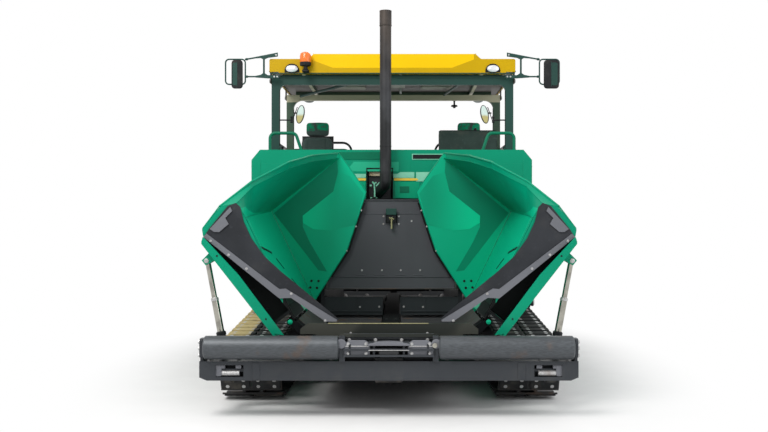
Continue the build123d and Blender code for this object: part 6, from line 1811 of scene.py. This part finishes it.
class PAVER_OT_finishes(Operator):
    """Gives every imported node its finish"""

    bl_idname = "paver.finishes"
    bl_label = "Finishes"

    def execute(self, context):
        given = set()
        for name, nodes in NODE_LOOKS.items():
            for each in (each.format(side) for each in nodes.split() for side, _ in SIDES):
                mesh = frame["nodes"][each].data
                mesh.materials.clear()
                mesh.materials.append(finish(name))
                given.add(each)
        missing = sorted(set(frame["nodes"]) - given)
        if missing:
            raise RuntimeError(f"no finish for {missing}")
        return {"FINISHED"}


# ---- stage ----
def lamp(name, place, target, size, power, colour=(1, 1, 1)):
    """A square lamp that faces a point."""
    data = bpy.data.lights.new(name, "AREA")
    data.shape, data.size, data.energy, data.color = "SQUARE", size, power, colour
    made = bpy.data.objects.new(name, data)
    bpy.context.scene.collection.objects.link(made)
    made.location = place
    made.rotation_euler = (Vector(target) - Vector(place)).to_track_quat("-Z", "Y").to_euler()


class PAVER_OT_stage(Operator):
    """Pale floor, even sky, soft lamps and the camera"""

    bl_idname = "paver.stage"
    bl_label = "Stage"

    def execute(self, context):
        light, scene = context.scene.paver_light, context.scene
        scene.view_settings.view_transform = "Standard"
        data = bpy.data.cameras.new("camera")
        data.lens, data.sensor_width, data.shift_x, data.shift_y = 43.1, 36, -0.0212, 0.013
        data.clip_end = 200
        camera = bpy.data.objects.new("camera", data)
        scene.collection.objects.link(camera)
        camera.location, camera.rotation_euler = (0.09, -10.6, 1.53), (pi / 2, 0, 0)
        scene.camera = camera
        # the floor's faces come from rings of points; it turns white for the eye as it goes out
        turn = np.linspace(0, tau, 97)
        rings = np.array([0.01, 3, 6, 12, 60])[:, None]
        disc = np.stack((rings * np.cos(turn), rings * np.sin(turn), np.zeros((5, 97))), -1)
        floor = add("floor", sheet(disc), "black_paint", None)
        made = bpy.data.materials.new("floor")
        made.use_nodes = True
        tree = made.node_tree
        tree.nodes.clear()
        place = node(tree, "TexCoord", output=3)
        near = node(tree, "Mapping", {}, {"Vector": place, "Scale": (1.0, 0.55, 1.0)})
        away = node(tree, "VectorMath", {"operation": "LENGTH"}, {0: near}, 1).spread(1.85, 3.3)
        seen = node(tree, "LightPath")
        shiny = node(tree, "LightPath", output=3)
        grain = node(tree, "TexNoise", {}, {"Vector": place, "Scale": 3.0}).spread(0.3, 0.7, 0.97, 1.0)
        colour = node(tree, "Mix", {"data_type": "RGBA"}, {0: grain, 6: (0, 0, 0, 1), 7: (*light.floor, 1)}, 2)
        matt = node(tree, "BsdfDiffuse", {}, {"Color": colour})
        white = node(tree, "Emission", {}, {"Strength": 1.0})
        mixed = node(tree, "MixShader", {}, {0: away * (seen + shiny).least(1.0), 1: matt, 2: white})
        out = tree.nodes.new("ShaderNodeOutputMaterial")
        tree.links.new(mixed.socket, out.inputs["Surface"])
        floor.data.materials.clear()
        floor.data.materials.append(made)
        world = bpy.data.worlds.new("sky")
        world.use_nodes = True
        scene.world = world
        tree = world.node_tree
        tree.nodes.clear()
        seen, shiny, through = (node(tree, "LightPath", output=index) for index in (0, 3, 6))
        clear = (seen + shiny + through).least(1.0)
        back = node(tree, "Background", {}, {"Color": (1, 1, 1, 1),
            "Strength": clear * (1 - light.sky) + light.sky})
        out = tree.nodes.new("ShaderNodeOutputWorld")
        tree.links.new(back.socket, out.inputs["Surface"])
        lamp("key", (-3.5, -7.0, 7.5), (0, -1.5, 1.2), 4.0, light.key, (1.0, 0.985, 0.96))
        lamp("fill", (6.0, -6.0, 4.0), (0, -1.0, 1.5), 5.0, light.fill, (0.96, 0.98, 1.0))
        lamp("rear", (1.0, 7.0, 7.0), (0, 0.5, 2.2), 4.0, light.fill)
        return {"FINISHED"}


STEPS = (
    PAVER_OT_stage, PAVER_OT_finishes, PAVER_OT_tracks, PAVER_OT_conveyors, PAVER_OT_frame_details,
    PAVER_OT_push_beam, PAVER_OT_wings, PAVER_OT_rear_wall, PAVER_OT_hood, PAVER_OT_platform, PAVER_OT_roof,
    PAVER_OT_mirrors, PAVER_OT_cylinders, PAVER_OT_seats, PAVER_OT_augers, PAVER_OT_screed,
)


class PAVER_PT_panel(Panel):
    """The paver's settings and steps"""

    bl_label = "Asphalt paver"
    bl_idname = "PAVER_PT_panel"
    bl_space_type = "VIEW_3D"
    bl_region_type = "UI"
    bl_category = "Paver"

    def draw(self, context):
        for group in (context.scene.paver_sizes, context.scene.paver_light):
            for name in group.bl_rna.properties.keys():
                if name not in ("rna_type", "name"):
                    self.layout.prop(group, name)
        for step in STEPS:
            self.layout.operator(step.bl_idname)


CLASSES = (PaverSizes, PaverLight, *STEPS, PAVER_PT_panel)


def register():
    for each in CLASSES:
        bpy.utils.register_class(each)
    bpy.types.Scene.paver_sizes = PointerProperty(type=PaverSizes)
    bpy.types.Scene.paver_light = PointerProperty(type=PaverLight)


def unregister():
    del bpy.types.Scene.paver_sizes, bpy.types.Scene.paver_light
    for each in reversed(CLASSES):
        bpy.utils.unregister_class(each)


def main():
    """Makes everything in order."""
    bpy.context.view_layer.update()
    register()
    for step in STEPS:
        group, name = step.bl_idname.split(".")
        getattr(getattr(bpy.ops, group), name)()


if __name__ == "__main__":
    main()
